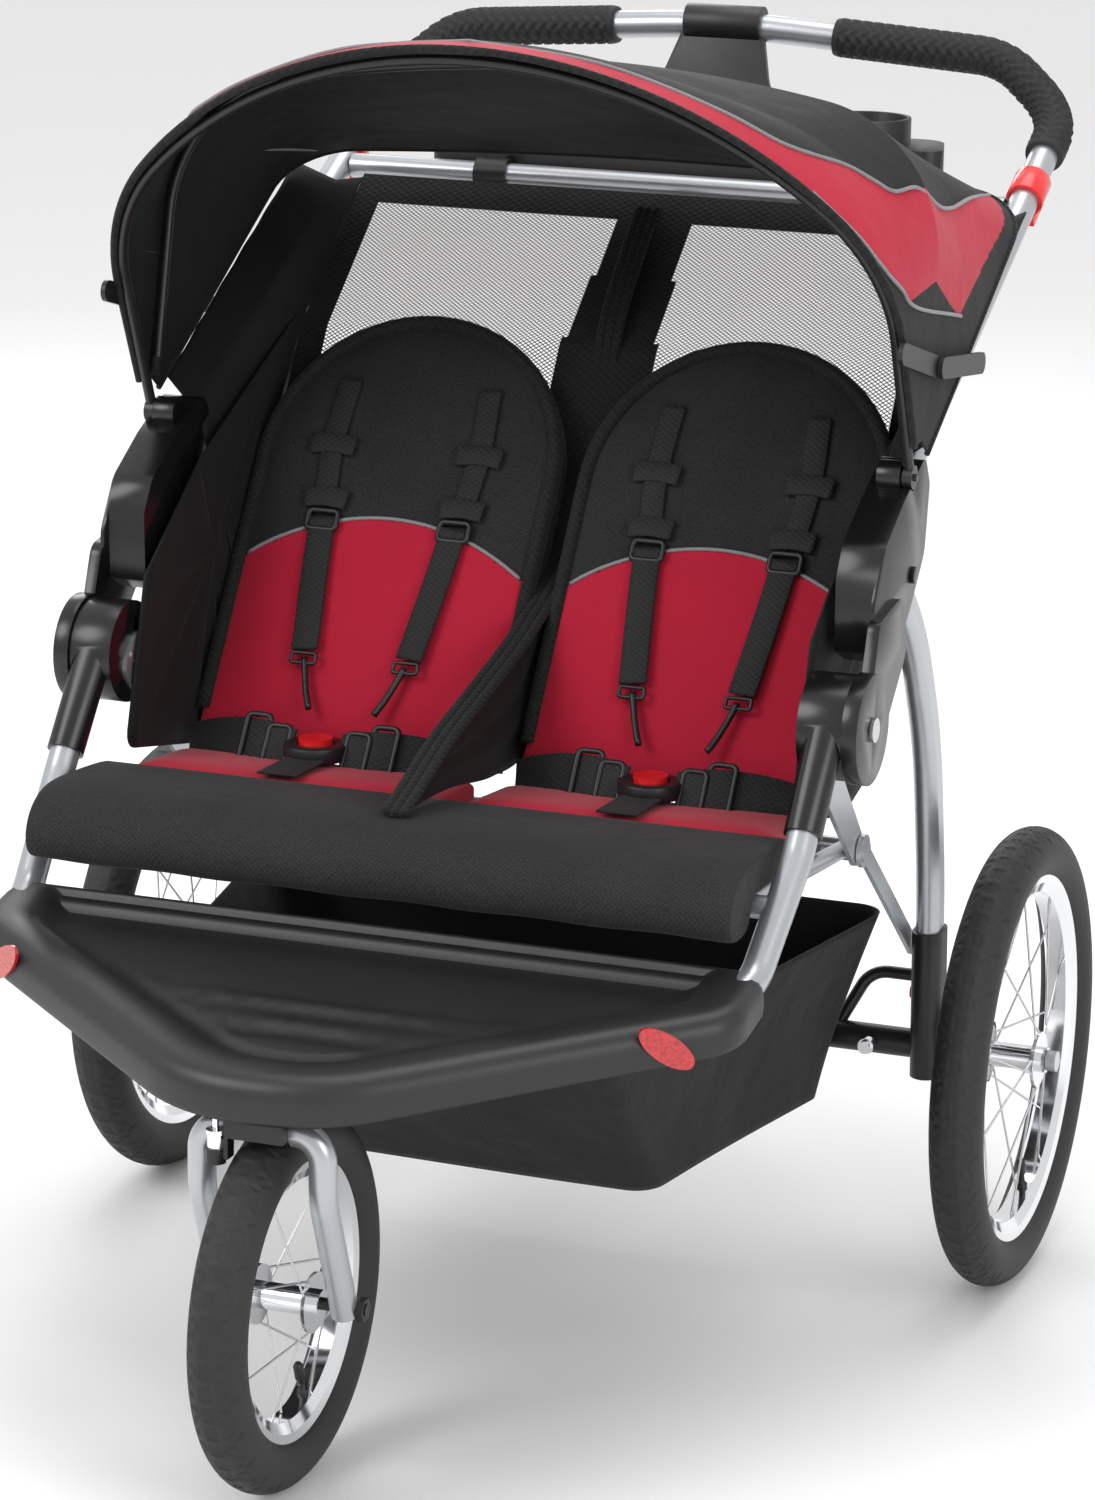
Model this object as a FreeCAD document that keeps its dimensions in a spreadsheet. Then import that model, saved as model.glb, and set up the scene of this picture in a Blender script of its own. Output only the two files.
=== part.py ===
"""Side-by-side two-seat jogging stroller, built as an assembly of separate pieces.

Units are millimetres.  Every piece is laid out from the rear axle: X runs across the stroller
(+X is the left-hand side of the people seated in it), -Y is the way it rolls forward, Z is up
from the floor.  Each piece's Placement then moves it along Y, so that the finished assembly has
its origin on the floor in the middle of its length.
"""
import FreeCAD, Part
import math
import os
import Sketcher

Vector = FreeCAD.Vector
ALONG_X = Vector(1, 0, 0)
ALONG_Z = Vector(0, 0, 1)
SIDES = (1, -1)

doc = FreeCAD.newDocument("jogging_stroller")
sheet = doc.addObject("Spreadsheet::Sheet", "Sizes")

SIZES = (
    # wheels
    ("rear_wheel_od", 400.0, "rear tyre, outside"),
    ("front_wheel_od", 304.0, "front tyre, outside"),
    ("tyre_section", 46.0, "width of every tyre"),
    ("tyre_wall", 4.0, "rubber thickness"),
    ("rim_depth", 17.0, "rim, flange to spoke bed"),
    ("rim_width", 30.0, "rim, across the flanges"),
    ("wheelbase", 663.0, "front axle ahead of the rear axle"),
    ("rear_track", 791.4, "between the middles of the rear wheels"),
    ("axle_od", 10.0, "every wheel axle"),
    ("hub_barrel_od", 22.0, "hub between its flanges"),
    ("hub_flange_od", 48.0, "spoke flange"),
    ("rear_hub_length", 60.0, "rear hub, end to end"),
    ("front_hub_length", 62.0, "front hub, end to end"),
    ("spoke_od", 2.0, "wire spoke"),
    ("rear_spokes", 20, "spokes in a rear wheel"),
    ("front_spokes", 16, "spokes in the front wheel"),
    ("brake_ring_od", 66.0, "toothed ring on the inside of a rear hub"),
    ("brake_ring_thick", 6.0, "toothed ring thickness"),
    ("running_fit", 0.05, "radial clearance of every turning fit"),
    ("moving_gap", 0.5, "gap between surfaces that pass each other"),
    # tubes
    ("tube_od", 25.4, "main frame tube"),
    ("tube_wall", 1.5, "main frame tube wall"),
    ("fork_tube_od", 22.0, "fork tube"),
    ("seat_tube_od", 19.0, "seat frame tube"),
    ("bow_od", 9.0, "canopy bow rod"),
    ("grip_od", 36.0, "foam grip"),
    ("half_width", 320.0, "middle plane of the side tubes"),
    # fold hinge
    ("hinge_y", -304.5, "fold hinge, along the stroller"),
    ("hinge_z", 557.5, "fold hinge, above the floor"),
    ("drum_od", 86.0, "round body of the fold hinge"),
    ("drum_inner", 299.0, "inner face of the drum"),
    ("drum_outer", 336.0, "outer face of the drum"),
    ("cheek_thick", 13.0, "outer disc of the fold hinge"),
    ("hinge_pin_od", 12.0, "fold hinge pin"),
    ("socket_od", 31.0, "sleeve that holds the front tube"),
    ("housing_width", 36.0, "width of the upper hinge casting"),
    ("leg_pivot_y", -173.0, "rear leg bolt, along the stroller"),
    ("leg_pivot_z", 656.0, "rear leg bolt, above the floor"),
    ("leg_bolt_od", 8.0, "rear leg bolt"),
    ("leg_width", 21.0, "rear leg oval tube, across"),
    ("leg_depth", 34.0, "rear leg oval tube, fore and aft"),
    ("leg_socket_wall", 3.0, "plastic socket around the leg"),
    # seat frame and link
    ("seat_front_y", -432.0, "front seat tube"),
    ("seat_front_z", 440.0, "front seat tube"),
    ("link_pivot_y", -160.0, "rear seat tube, which carries the fold link"),
    ("link_pivot_z", 415.0, "rear seat tube, which carries the fold link"),
    ("link_foot_y", -4.0, "lower end of the fold link"),
    ("link_foot_z", 290.0, "lower end of the fold link"),
    ("link_width", 16.0, "fold link bar"),
    ("link_thick", 4.0, "fold link bar"),
    ("board_thick", 5.0, "seat board"),
    ("seat_pad_thick", 28.0, "seat cushion"),
    ("back_pad_thick", 45.0, "back cushion"),
    ("seat_inner", 12.0, "inner edge of each seat, from the middle"),
    ("seat_outer", 286.0, "outer edge of each seat, from the middle"),
    ("back_length", 411.0, "back cushion, bottom to top"),
    ("back_lean", 57.0, "back cushion, degrees above level"),
    # handle and console
    ("handle_rise", 27.3, "handle tube, degrees above level"),
    ("bar_back", 337.0, "handlebar behind the rear axle"),
    ("bar_height", 1036.0, "handlebar middle above the floor"),
    ("bar_bow", 18.0, "drop of the handlebar at its corners"),
    ("cross_back", 190.0, "cross tube behind the rear axle"),
    ("console_half", 245.0, "half the length of the console"),
    ("cup_bore", 74.0, "inside of a cup holder"),
    ("cup_wall", 4.0, "cup holder wall"),
    ("cup_spacing", 320.0, "between the two cup holders"),
    # canopy
    ("canopy_pivot_y", -180.0, "canopy hinge"),
    ("canopy_pivot_z", 738.0, "canopy hinge"),
    ("canopy_half", 344.0, "outside of the hood, from the middle"),
    ("canopy_reach", 378.0, "front arch, hinge to crown"),
    ("canopy_cloth", 2.5, "hood cloth with its binding"),
    # tray and basket
    ("tray_wall", 3.5, "footrest tray wall"),
    ("tray_back_y", -478.0, "back edge of the tray"),
    ("tray_nose_y", -740.0, "front of the tray"),
    ("tray_skirt_z", 317.0, "bottom edge of the tray at its nose"),
    ("tray_lip_z", 352.0, "top of the tray lip at its nose"),
    ("nose_tube_z", 336.0, "front tube where it crosses the nose"),
    ("caster_y", -718.0, "steering axis of the front wheel"),
    ("caster_bolt_od", 10.0, "steering bolt"),
    ("basket_cloth", 2.5, "basket cloth"),
    ("basket_floor_z", 155.0, "basket floor above the ground"),
    ("basket_rim_z", 328.0, "basket rim above the ground"),
)

for row, (alias, value, note) in enumerate(SIZES, start=1):
    sheet.set("A%d" % row, alias)
    sheet.set("B%d" % row, str(value))
    sheet.setAlias("B%d" % row, alias)
    sheet.set("C%d" % row, note)
doc.recompute()


def size(alias):
    """The number that the sheet holds under an alias."""
    return float(sheet.get(alias))


SHIFT = ("(Sizes.wheelbase + Sizes.front_wheel_od / 2 - Sizes.bar_back - Sizes.grip_od / 2)"
         " / 2 * 1 mm")
NODES = []


def node(thing, label):
    """Names a sub-part and binds its place along the stroller."""
    thing.Label = label
    thing.setExpression("Placement.Base.y", SHIFT)
    NODES.append(thing)
    return thing


def shape_node(label, *solids):
    """A sub-part whose shape is worked out by Part's own functions."""
    thing = doc.addObject("Part::Feature", label)
    thing.Shape = solids[0] if len(solids) == 1 else Part.makeCompound(list(solids))
    return node(thing, label)


# ------------------------------------------------------------------ shapes used by many pieces
def at(x, y, z):
    return Vector(x, y, z)


def in_side_plane(x, points):
    """Points of a drawing in the plane across X, given as (y, z)."""
    return [Vector(x, y, z) for y, z in points]


def rounded_wire(points, radii, closed=True):
    """A wire of straight runs whose corners are tangent arcs."""
    count = len(points)
    if not hasattr(radii, "__len__"):
        radii = [radii] * count
    starts, ends, arcs = [], [], []
    for i, corner in enumerate(points):
        if not closed and i in (0, count - 1):
            starts.append(corner)
            ends.append(corner)
            arcs.append(None)
            continue
        back = (points[i - 1] - corner).normalize()
        ahead = (points[(i + 1) % count] - corner).normalize()
        half = back.getAngle(ahead) / 2
        reach = radii[i] / math.tan(half)
        first = corner + back * reach
        last = corner + ahead * reach
        inward = (back + ahead).normalize()
        middle = corner + inward * (radii[i] / math.sin(half) - radii[i])
        starts.append(first)
        ends.append(last)
        arcs.append(Part.Arc(first, middle, last).toShape() if radii[i] > 0 else None)
    edges = []
    for i in range(count):
        if arcs[i] is not None:
            edges.append(arcs[i])
        if closed or i < count - 1:
            a, b = ends[i], starts[(i + 1) % count]
            if (b - a).Length > 0.001:
                edges.append(Part.LineSegment(a, b).toShape())
    return Part.Wire(Part.__sortEdges__(edges))


def plate(points, radii, thickness):
    """A flat outline, given thickness along a vector."""
    return Part.Face(rounded_wire(points, radii)).extrude(thickness)


def side_plate(x_low, x_high, points, radii):
    """An outline in the side plane, from one X to another."""
    low, high = min(x_low, x_high), max(x_low, x_high)
    return plate(in_side_plane(low, points), radii, Vector(high - low, 0, 0))


def rod(start, finish, diameter):
    """A round bar between two points."""
    run = finish - start
    return Part.makeCylinder(diameter / 2, run.Length, start, run)


def cross_rod(x_low, x_high, y, z, diameter):
    """A round bar along X."""
    low, high = min(x_low, x_high), max(x_low, x_high)
    return Part.makeCylinder(diameter / 2, high - low, at(low, y, z), ALONG_X)


def swept(path, diameter):
    """A round bar along a bent path."""
    first = path.OrderedEdges[0]
    start = path.OrderedVertexes[0].Point
    heading = first.tangentAt(first.FirstParameter)
    if (first.valueAt(first.FirstParameter) - start).Length > 0.001:
        heading = first.tangentAt(first.LastParameter)
    ring = Part.Wire(Part.makeCircle(diameter / 2, start, heading))
    return path.makePipeShell([ring], True, False)


def bent_tube(points, radii, diameter, wall):
    """A hollow tube along straight runs joined by bends."""
    path = rounded_wire(points, radii, closed=False)
    return swept(path, diameter).cut(swept(path, diameter - 2 * wall))


def mirrored(solid):
    """The same piece on the other side of the stroller."""
    return solid.mirror(Vector(0, 0, 0), ALONG_X)


def both(solid):
    return [solid, mirrored(solid)]


def polar(centre_y, centre_z, radius, degrees):
    """A point (y, z) at an angle above the rearward level."""
    turn = math.radians(degrees)
    return (centre_y + radius * math.cos(turn), centre_z + radius * math.sin(turn))


# ------------------------------------------------------------------ wheels
def draw_ring(sketch, corners):
    """Closed outline whose corners are bound to the sheet: (across, out) expressions."""
    rough = [(10.0 * math.cos(i), 100.0 + 10.0 * math.sin(i)) for i in range(len(corners))]
    for i in range(len(corners)):
        a, b = rough[i], rough[(i + 1) % len(corners)]
        sketch.addGeometry(Part.LineSegment(Vector(a[0], a[1], 0), Vector(b[0], b[1], 0)))
    for i in range(len(corners)):
        sketch.addConstraint(Sketcher.Constraint("Coincident", i, 2, (i + 1) % len(corners), 1))
    for i, (across, out) in enumerate(corners):
        column = sketch.addConstraint(Sketcher.Constraint("DistanceX", -1, 1, i, 1, rough[i][0]))
        sketch.setExpression("Constraints[%d]" % column, across)
        line = sketch.addConstraint(Sketcher.Constraint("DistanceY", -1, 1, i, 1, rough[i][1]))
        sketch.setExpression("Constraints[%d]" % line, out)


def origin_item(body, role):
    return [item for item in body.Origin.OriginFeatures if item.Role == role][0]


def turned_body(label, corners, centre):
    """A body turned about its own X axis from a bound outline, then put at a wheel's centre."""
    body = doc.addObject("PartDesign::Body", label)
    sketch = body.newObject("Sketcher::SketchObject", label + "_outline")
    sketch.AttachmentSupport = [(origin_item(body, "XY_Plane"), "")]
    sketch.MapMode = "FlatFace"
    draw_ring(sketch, corners)
    turned = body.newObject("PartDesign::Revolution", label + "_turned")
    turned.Profile = sketch
    turned.ReferenceAxis = (sketch, ["H_Axis"])
    turned.Angle = 360.0
    doc.recompute()
    node(body, label)
    body.setExpression("Placement.Base.x", centre[0])
    body.setExpression("Placement.Base.y", SHIFT + " + " + centre[1])
    body.setExpression("Placement.Base.z", centre[2])
    return body


def rim_outline(wheel):
    """Channel section: flange, well and spoke bed."""
    half = "Sizes.rim_width / 2 * 1 mm"
    flange = "(Sizes.%s / 2 - Sizes.tyre_section * 0.85) * 1 mm" % wheel
    bed = "(Sizes.%s / 2 - Sizes.tyre_section * 0.85 - Sizes.rim_depth) * 1 mm" % wheel
    well = "(Sizes.%s / 2 - Sizes.tyre_section * 0.85 - Sizes.rim_depth / 2) * 1 mm" % wheel
    return (
        ("-" + half, flange), ("-" + half + " + 3 mm", flange), ("-" + half + " + 5 mm", well),
        (half + " - 5 mm", well), (half + " - 3 mm", flange), (half, flange),
        (half + " - 2.5 mm", well), (half + " - 7 mm", bed),
        ("-" + half + " + 7 mm", bed), ("-" + half + " + 2.5 mm", well),
    )


def hub_outline(length):
    """Barrel with two spoke flanges and a bore that runs on the axle."""
    end = "Sizes.%s / 2 * 1 mm" % length
    bore = "(Sizes.axle_od / 2 + Sizes.running_fit) * 1 mm"
    barrel = "Sizes.hub_barrel_od / 2 * 1 mm"
    flange = "Sizes.hub_flange_od / 2 * 1 mm"
    return (
        ("-" + end, bore), ("-" + end, barrel), ("-" + end + " + 6 mm", barrel),
        ("-" + end + " + 6 mm", flange), ("-" + end + " + 9 mm", flange),
        ("-" + end + " + 9 mm", barrel), (end + " - 9 mm", barrel), (end + " - 9 mm", flange),
        (end + " - 6 mm", flange), (end + " - 6 mm", barrel), (end, barrel), (end, bore),
    )


def tyre(label, wheel, x, y):
    """Hollow ring of rubber, open towards the rim."""
    radius = size(wheel) / 2
    half = size("tyre_section") / 2
    centre = at(x, y, radius)
    seat = radius - size("tyre_section") * 0.85
    outer = Part.makeTorus(radius - half, half, centre, ALONG_X)
    inner = Part.makeTorus(radius - half, half - size("tyre_wall"), centre, ALONG_X)
    bed = Part.makeCylinder(seat, 2 * half + 4, centre - ALONG_X * (half + 2), ALONG_X)
    return shape_node(label, outer.cut(inner).cut(bed))


def spokes(label, wheel, hub_length, count, x, y):
    """Crossed wire spokes from the hub flanges to the rim's spoke bed."""
    radius = size(wheel) / 2
    bed = radius - size("tyre_section") * 0.85 - size("rim_depth") - 0.5
    flange = size("hub_flange_od") / 2 + 1.2
    flange_x = size(hub_length) / 2 - 7.5
    wires = []
    pairs = int(count) // 4
    for i in range(int(count)):
        side = 1 if i % 2 else -1
        lean = 1 if i % 4 < 2 else -1
        rim_turn = 2 * math.pi * i / count
        hub_turn = rim_turn + lean * math.pi / (pairs + 1)
        hub = at(x + side * flange_x, y + flange * math.cos(hub_turn),
                 radius + flange * math.sin(hub_turn))
        end = at(x + side * 4, y + bed * math.cos(rim_turn), radius + bed * math.sin(rim_turn))
        wires.append(rod(hub, end, size("spoke_od")))
    return shape_node(label, *wires)


def wheel(name, wheel_size, hub_length, count, x, y, centre):
    tyre("tyre_" + name, wheel_size, x, y)
    turned_body("rim_" + name, rim_outline(wheel_size), centre)
    turned_body("hub_" + name, hub_outline(hub_length), centre)
    spokes("spokes_" + name, wheel_size, hub_length, size(count), x, y)


def wheels():
    track = size("rear_track") / 2
    rear_z = "Sizes.rear_wheel_od / 2 * 1 mm"
    left = ("Sizes.rear_track / 2 * 1 mm", "0 mm", rear_z)
    right = ("-Sizes.rear_track / 2 * 1 mm", "0 mm", rear_z)
    front = ("0 mm", "-Sizes.wheelbase * 1 mm", "Sizes.front_wheel_od / 2 * 1 mm")
    wheel("rear_left", "rear_wheel_od", "rear_hub_length", "rear_spokes", track, 0, left)
    wheel("rear_right", "rear_wheel_od", "rear_hub_length", "rear_spokes", -track, 0, right)
    wheel("front", "front_wheel_od", "front_hub_length", "front_spokes", 0,
          -size("wheelbase"), front)


def brake_rings():
    """Toothed ring on the inner end of each rear hub, for the brake pin."""
    track = size("rear_track") / 2
    face = track - size("rear_hub_length") / 2
    thick = size("brake_ring_thick")
    radius = size("brake_ring_od") / 2
    height = size("rear_wheel_od") / 2
    for side, name in zip(SIDES, ("left", "right")):
        low = side * face
        high = side * (face + thick)
        ring = cross_rod(low, high, 0, height, 2 * radius)
        ring = ring.cut(cross_rod(low - side, high + side, 0, height, size("hub_barrel_od")))
        for i in range(12):
            y, z = polar(0, height, radius, 30 * i + 15)
            ring = ring.cut(cross_rod(low - side, high + side, y, z, 9))
        shape_node("brake_ring_" + name, ring)


# ------------------------------------------------------------------ front frame
def front_tube_points():
    """Left half of the front tube, from the hinge socket to the nose."""
    width = size("half_width")
    nose = size("caster_y") + 21
    return [at(width, size("hinge_y") - 33.5, size("hinge_z") - 4.5),
            at(width, -400, 473), at(width - 8, -474, 396), at(width - 22, -532, 374),
            at(56, nose, size("nose_tube_z"))]


def front_tube_space(diameter):
    """A round bar along the whole front tube."""
    left = front_tube_points()
    right = [at(-p.x, p.y, p.z) for p in reversed(left)]
    radii = [0, 70, 40, 60, 45, 45, 60, 40, 70, 0]
    return swept(rounded_wire(left + right, radii, closed=False), diameter)


def front_frame_tube():
    outside = size("tube_od")
    inside = outside - 2 * size("tube_wall")
    shape_node("front_frame_tube", front_tube_space(outside).cut(front_tube_space(inside)))


def lower_hinges():
    """Drum and sleeve in one casting, fixed to the top of the front tube."""
    width = size("half_width")
    y, z = size("hinge_y"), size("hinge_z")
    start, knee = front_tube_points()[:2]
    along = (knee - start).normalize()
    drum = cross_rod(size("drum_inner"), size("drum_outer"), y, z, size("drum_od"))
    sleeve = rod(start - along * 12, start + along * 82, size("socket_od"))
    casting = drum.fuse(sleeve)
    casting = casting.cut(rod(start, start + along * 90, size("tube_od")))
    casting = casting.cut(cross_rod(width - 60, width + 60, y, z, size("hinge_pin_od")))
    shape_node("lower_hinges", *both(casting.removeSplitter()))


def fold_pins():
    """Rivets on the fold axis, fixed in the lower hinges."""
    y, z = size("hinge_y"), size("hinge_z")
    inner = size("drum_inner")
    outer = size("drum_outer") + size("moving_gap") + size("cheek_thick") + size("moving_gap")
    shank = cross_rod(inner - 4, outer, y, z, size("hinge_pin_od"))
    head = cross_rod(outer, outer + 2.5, y, z, 20)
    tail = cross_rod(inner - 6, inner - 4, y, z, 20)
    shape_node("fold_pins", *both(shank.fuse(head).fuse(tail)))


def seat_frame():
    """Two cross tubes, two rails and the side plates that hang the rear tube on the hinges."""
    tube = size("seat_tube_od")
    inner = size("drum_inner")
    front_y, front_z = size("seat_front_y"), size("seat_front_z")
    rear_y, rear_z = size("link_pivot_y"), size("link_pivot_z")
    reach = size("half_width") - size("tube_od") / 2
    front = cross_rod(-reach, reach, front_y, front_z, tube)
    rear = cross_rod(-reach + 1.5, reach - 1.5, rear_y, rear_z, tube)
    frame = front.fuse(rear)
    for side in SIDES:
        rail_x = side * (inner - 14)
        frame = frame.fuse(rod(at(rail_x, front_y, front_z), at(rail_x, rear_y, rear_z), 15))
        hinge = size("hinge_y"), size("hinge_z")
        pad = side_plate(side * (inner - 4), side * inner,
                         [(hinge[0] - 24, hinge[1] - 12), (hinge[0] + 8, hinge[1] + 22),
                          (rear_y + 14, rear_z + 4), (rear_y - 6, rear_z - 16)],
                         [14, 14, 12, 12])
        pad = pad.cut(cross_rod(-400, 400, hinge[0], hinge[1], size("hinge_pin_od")))
        frame = frame.fuse(pad)
    frame = frame.fuse(rod(at(0, front_y, front_z), at(0, rear_y, rear_z), 15))
    frame = frame.cut(front_tube_space(size("tube_od")))
    shape_node("seat_frame", max(frame.removeSplitter().Solids, key=lambda solid: solid.Volume))


def board_line():
    """Underside of the seat boards: height at the front tube, and its fall towards the back."""
    clear = size("seat_tube_od") / 2 + 0.5
    start = size("seat_front_z") + clear
    fall = (size("seat_front_z") - size("link_pivot_z")) / (
        size("link_pivot_y") - size("seat_front_y"))
    return start, fall


def board_z(y, above=0.0):
    start, fall = board_line()
    return start - fall * (y - size("seat_front_y")) + above


def seat_slab(x_low, x_high, y_front, y_back, low, high, radius):
    """A slab that lies on the seat's slope."""
    outline = [(y_front, board_z(y_front, low)), (y_front, board_z(y_front, high)),
               (y_back, board_z(y_back, high)), (y_back, board_z(y_back, low))]
    return side_plate(x_low, x_high, outline, radius)


def seat_boards_and_pads():
    thick = size("board_thick")
    top = thick + size("seat_pad_thick")
    inner, outer = size("seat_inner"), size("seat_outer")
    board = seat_slab(inner, outer, -450, -228, 0, thick, 1)
    shape_node("seat_boards", *both(board))
    pad = seat_slab(inner, outer, -345, -236, thick + 0.3, top, 6)
    shape_node("seat_pads", *both(pad))


def seat_front_pad():
    """Thick padded panel over the front of both seats."""
    thick = size("board_thick") + 0.4
    rise = size("board_thick") + size("seat_pad_thick")
    reach = size("half_width") - size("tube_od") / 2 - 7
    outline = [(-347, board_z(-347, thick)), (-347, board_z(-347, rise)),
               (-470, board_z(-470, rise - 2)), (-508, 462), (-508, 434), (-455, 421),
               (-453, board_z(-453, thick))]
    shape_node("seat_front_pad", side_plate(-reach, reach, outline, [2, 6, 30, 13, 14, 1, 1]))


def back_point(along, behind):
    """A point (y, z) on the back cushion: up its face, and behind it."""
    lean = math.radians(size("back_lean"))
    return (-219 + along * math.cos(lean) + behind * math.sin(lean),
            460 + along * math.sin(lean) - behind * math.cos(lean))


def seat_backs():
    """Arched back cushions, leaning on their hinge line above the seat boards."""
    inner, outer = size("seat_inner"), size("seat_outer")
    half = (outer - inner) / 2
    length = size("back_length")
    depth = size("back_pad_thick")
    middle = (inner + outer) / 2
    lean = math.radians(size("back_lean"))
    up = Vector(0, math.cos(lean), math.sin(lean))
    rear = Vector(0, math.sin(lean), -math.cos(lean))
    foot = at(0, *back_point(0, 0))
    for side, name in zip(SIDES, ("left", "right")):
        low = foot + ALONG_X * side * (middle - half + 4) + up * 14
        low_far = foot + ALONG_X * side * (middle + half - 4) + up * 14
        shoulder = up * (length - half - 14)
        crown = foot + ALONG_X * side * middle + up * length
        edges = [Part.LineSegment(low, low_far).toShape(),
                 Part.LineSegment(low_far, low_far + shoulder).toShape(),
                 Part.Arc(low_far + shoulder, crown, low + shoulder).toShape(),
                 Part.LineSegment(low + shoulder, low).toShape()]
        pad = Part.Face(Part.Wire(Part.__sortEdges__(edges))).extrude(rear * depth)
        shape_node("seat_back_" + name, pad)


def harness():
    """Buckles on the seats, their release buttons, and the lap and crotch webbing."""
    middle = (size("seat_inner") + size("seat_outer")) / 2
    y = -262
    z = board_z(y, size("board_thick") + size("seat_pad_thick"))
    shells, webs = [], []
    for side, name in zip(SIDES, ("left", "right")):
        centre = at(side * middle, y, z + 3)
        shell = Part.makeCylinder(27, 14, centre, ALONG_Z)
        shell = shell.cut(Part.makeCylinder(15, 9, centre + ALONG_Z * 8, ALONG_Z))
        shells.append(shell)
        button = Part.makeCylinder(15 - size("moving_gap"), 7, centre + ALONG_Z * 11.5, ALONG_Z)
        shape_node("harness_button_" + name, button)
        top = size("board_thick") + size("seat_pad_thick")
        for way in (1, -1):
            start = centre.x + way * 29
            webs.append(seat_slab(start, start + way * 100, y - 19, y + 19, top + 5, top + 7, 0))
        webs.append(seat_slab(centre.x - 19, centre.x + 19, y - 80, y - 29, top + 0.4, top + 2.4, 0))
    shape_node("harness_buckles", *shells)
    shape_node("harness_webbing", *webs)


# ------------------------------------------------------------------ footrest tray and steering
def tray_outline(inset, back_inset):
    """V-fronted plan of the tray, moved inwards by an inset."""
    half = 325 - inset
    back = size("tray_back_y") - back_inset
    nose = size("tray_nose_y") + inset
    shoulder_y = -551 + 0.45 * inset
    nose_half = 57 - 0.35 * inset
    return [at(-half, back, 0), at(half, back, 0), at(half, shoulder_y, 0),
            at(nose_half, nose, 0), at(-nose_half, nose, 0), at(-half, shoulder_y, 0)]


def tray_prism(inset, back_inset, radii):
    return plate(tray_outline(inset, back_inset), radii, ALONG_Z * 200).translated(
        ALONG_Z * 280)


def sloped_slab(front_low, rise_low, front_high, rise_high):
    """The space between two planes that rise towards the back from the tray's nose."""
    nose = size("tray_nose_y")
    front, back = nose - 30, size("tray_back_y") + 30
    outline = [(front, front_low + rise_low * (front - nose)),
               (front, front_high + rise_high * (front - nose)),
               (back, front_high + rise_high * (back - nose)),
               (back, front_low + rise_low * (back - nose))]
    return side_plate(-400, 400, outline, 0)


def footrest_tray():
    """Moulded tray: hollow rolled rim that hides the front tube, sunk floor, open notches."""
    wall = size("tray_wall")
    skirt, lip = size("tray_skirt_z"), size("tray_lip_z")
    skirt_rise, lip_rise, floor_rise = 0.22, 0.2, 0.2
    floor = lip - 16
    outer_radii = [16, 16, 45, 150, 150, 45]
    recess_radii = [22, 22, 26, 90, 90, 26]
    rim = 54
    body = tray_prism(0, 0, outer_radii).common(
        sloped_slab(skirt, skirt_rise, lip, lip_rise))
    recess = tray_prism(rim, 9, recess_radii).common(
        sloped_slab(floor, floor_rise, lip + 100, lip_rise))
    under = tray_prism(wall, wall, outer_radii).common(
        sloped_slab(skirt - 60, skirt_rise, lip - wall, lip_rise))
    keep = tray_prism(rim - wall, 9 - wall, recess_radii).common(
        sloped_slab(floor - wall, floor_rise, lip + 100, lip_rise))
    tray = body.cut(recess).cut(under.cut(keep))
    tray = tray.cut(front_tube_space(size("tube_od") + 2 * size("moving_gap")))
    shape_node("footrest_tray", max(tray.Solids, key=lambda solid: solid.Volume))


def tray_reflectors():
    """Oval reflectors on the shoulders of the tray."""
    solids = []
    for side in SIDES:
        slant = Vector(size("tray_nose_y") + 551, -268, 0).normalize()
        facing = Vector(-side * slant.x, slant.y, 0)
        centre = at(side * 278, -551 + 47 * (size("tray_nose_y") + 551) / 268, 367)
        oval = Part.Ellipse(centre, 26, 11)
        oval.rotate(FreeCAD.Placement(centre, FreeCAD.Rotation(ALONG_Z, facing)))
        face = Part.Face(Part.Wire(oval.toShape()))
        solids.append(face.extrude(facing * 3))
    shape_node("tray_reflectors", *solids)


def lock_place():
    """Middle of the swivel lock, on the fork crown."""
    return -30.0, size("caster_y") - 10.3


def steering_head():
    """Block on the nose of the front tube, bored for the steering bolt, with the lock's lug."""
    y = size("caster_y")
    lock_x, lock_y = lock_place()
    bottom = 321
    block = Part.makeBox(50, 36, 24, at(-25, y - 15, bottom))
    lug = Part.makeBox(14, 17, 27, at(lock_x - 8, y - 15, bottom - 3))
    head = block.fuse(lug)
    head = head.cut(cross_rod(-60, 60, y + 21, size("nose_tube_z"), size("tube_od")))
    bolt = size("caster_bolt_od") / 2 + size("running_fit")
    head = head.cut(Part.makeCylinder(bolt, 60, at(0, y, bottom - 10), ALONG_Z))
    head = head.cut(Part.makeCylinder(2.6, 16, at(lock_x, lock_y, bottom - 4), ALONG_Z))
    shape_node("steering_head", head.removeSplitter())


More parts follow.
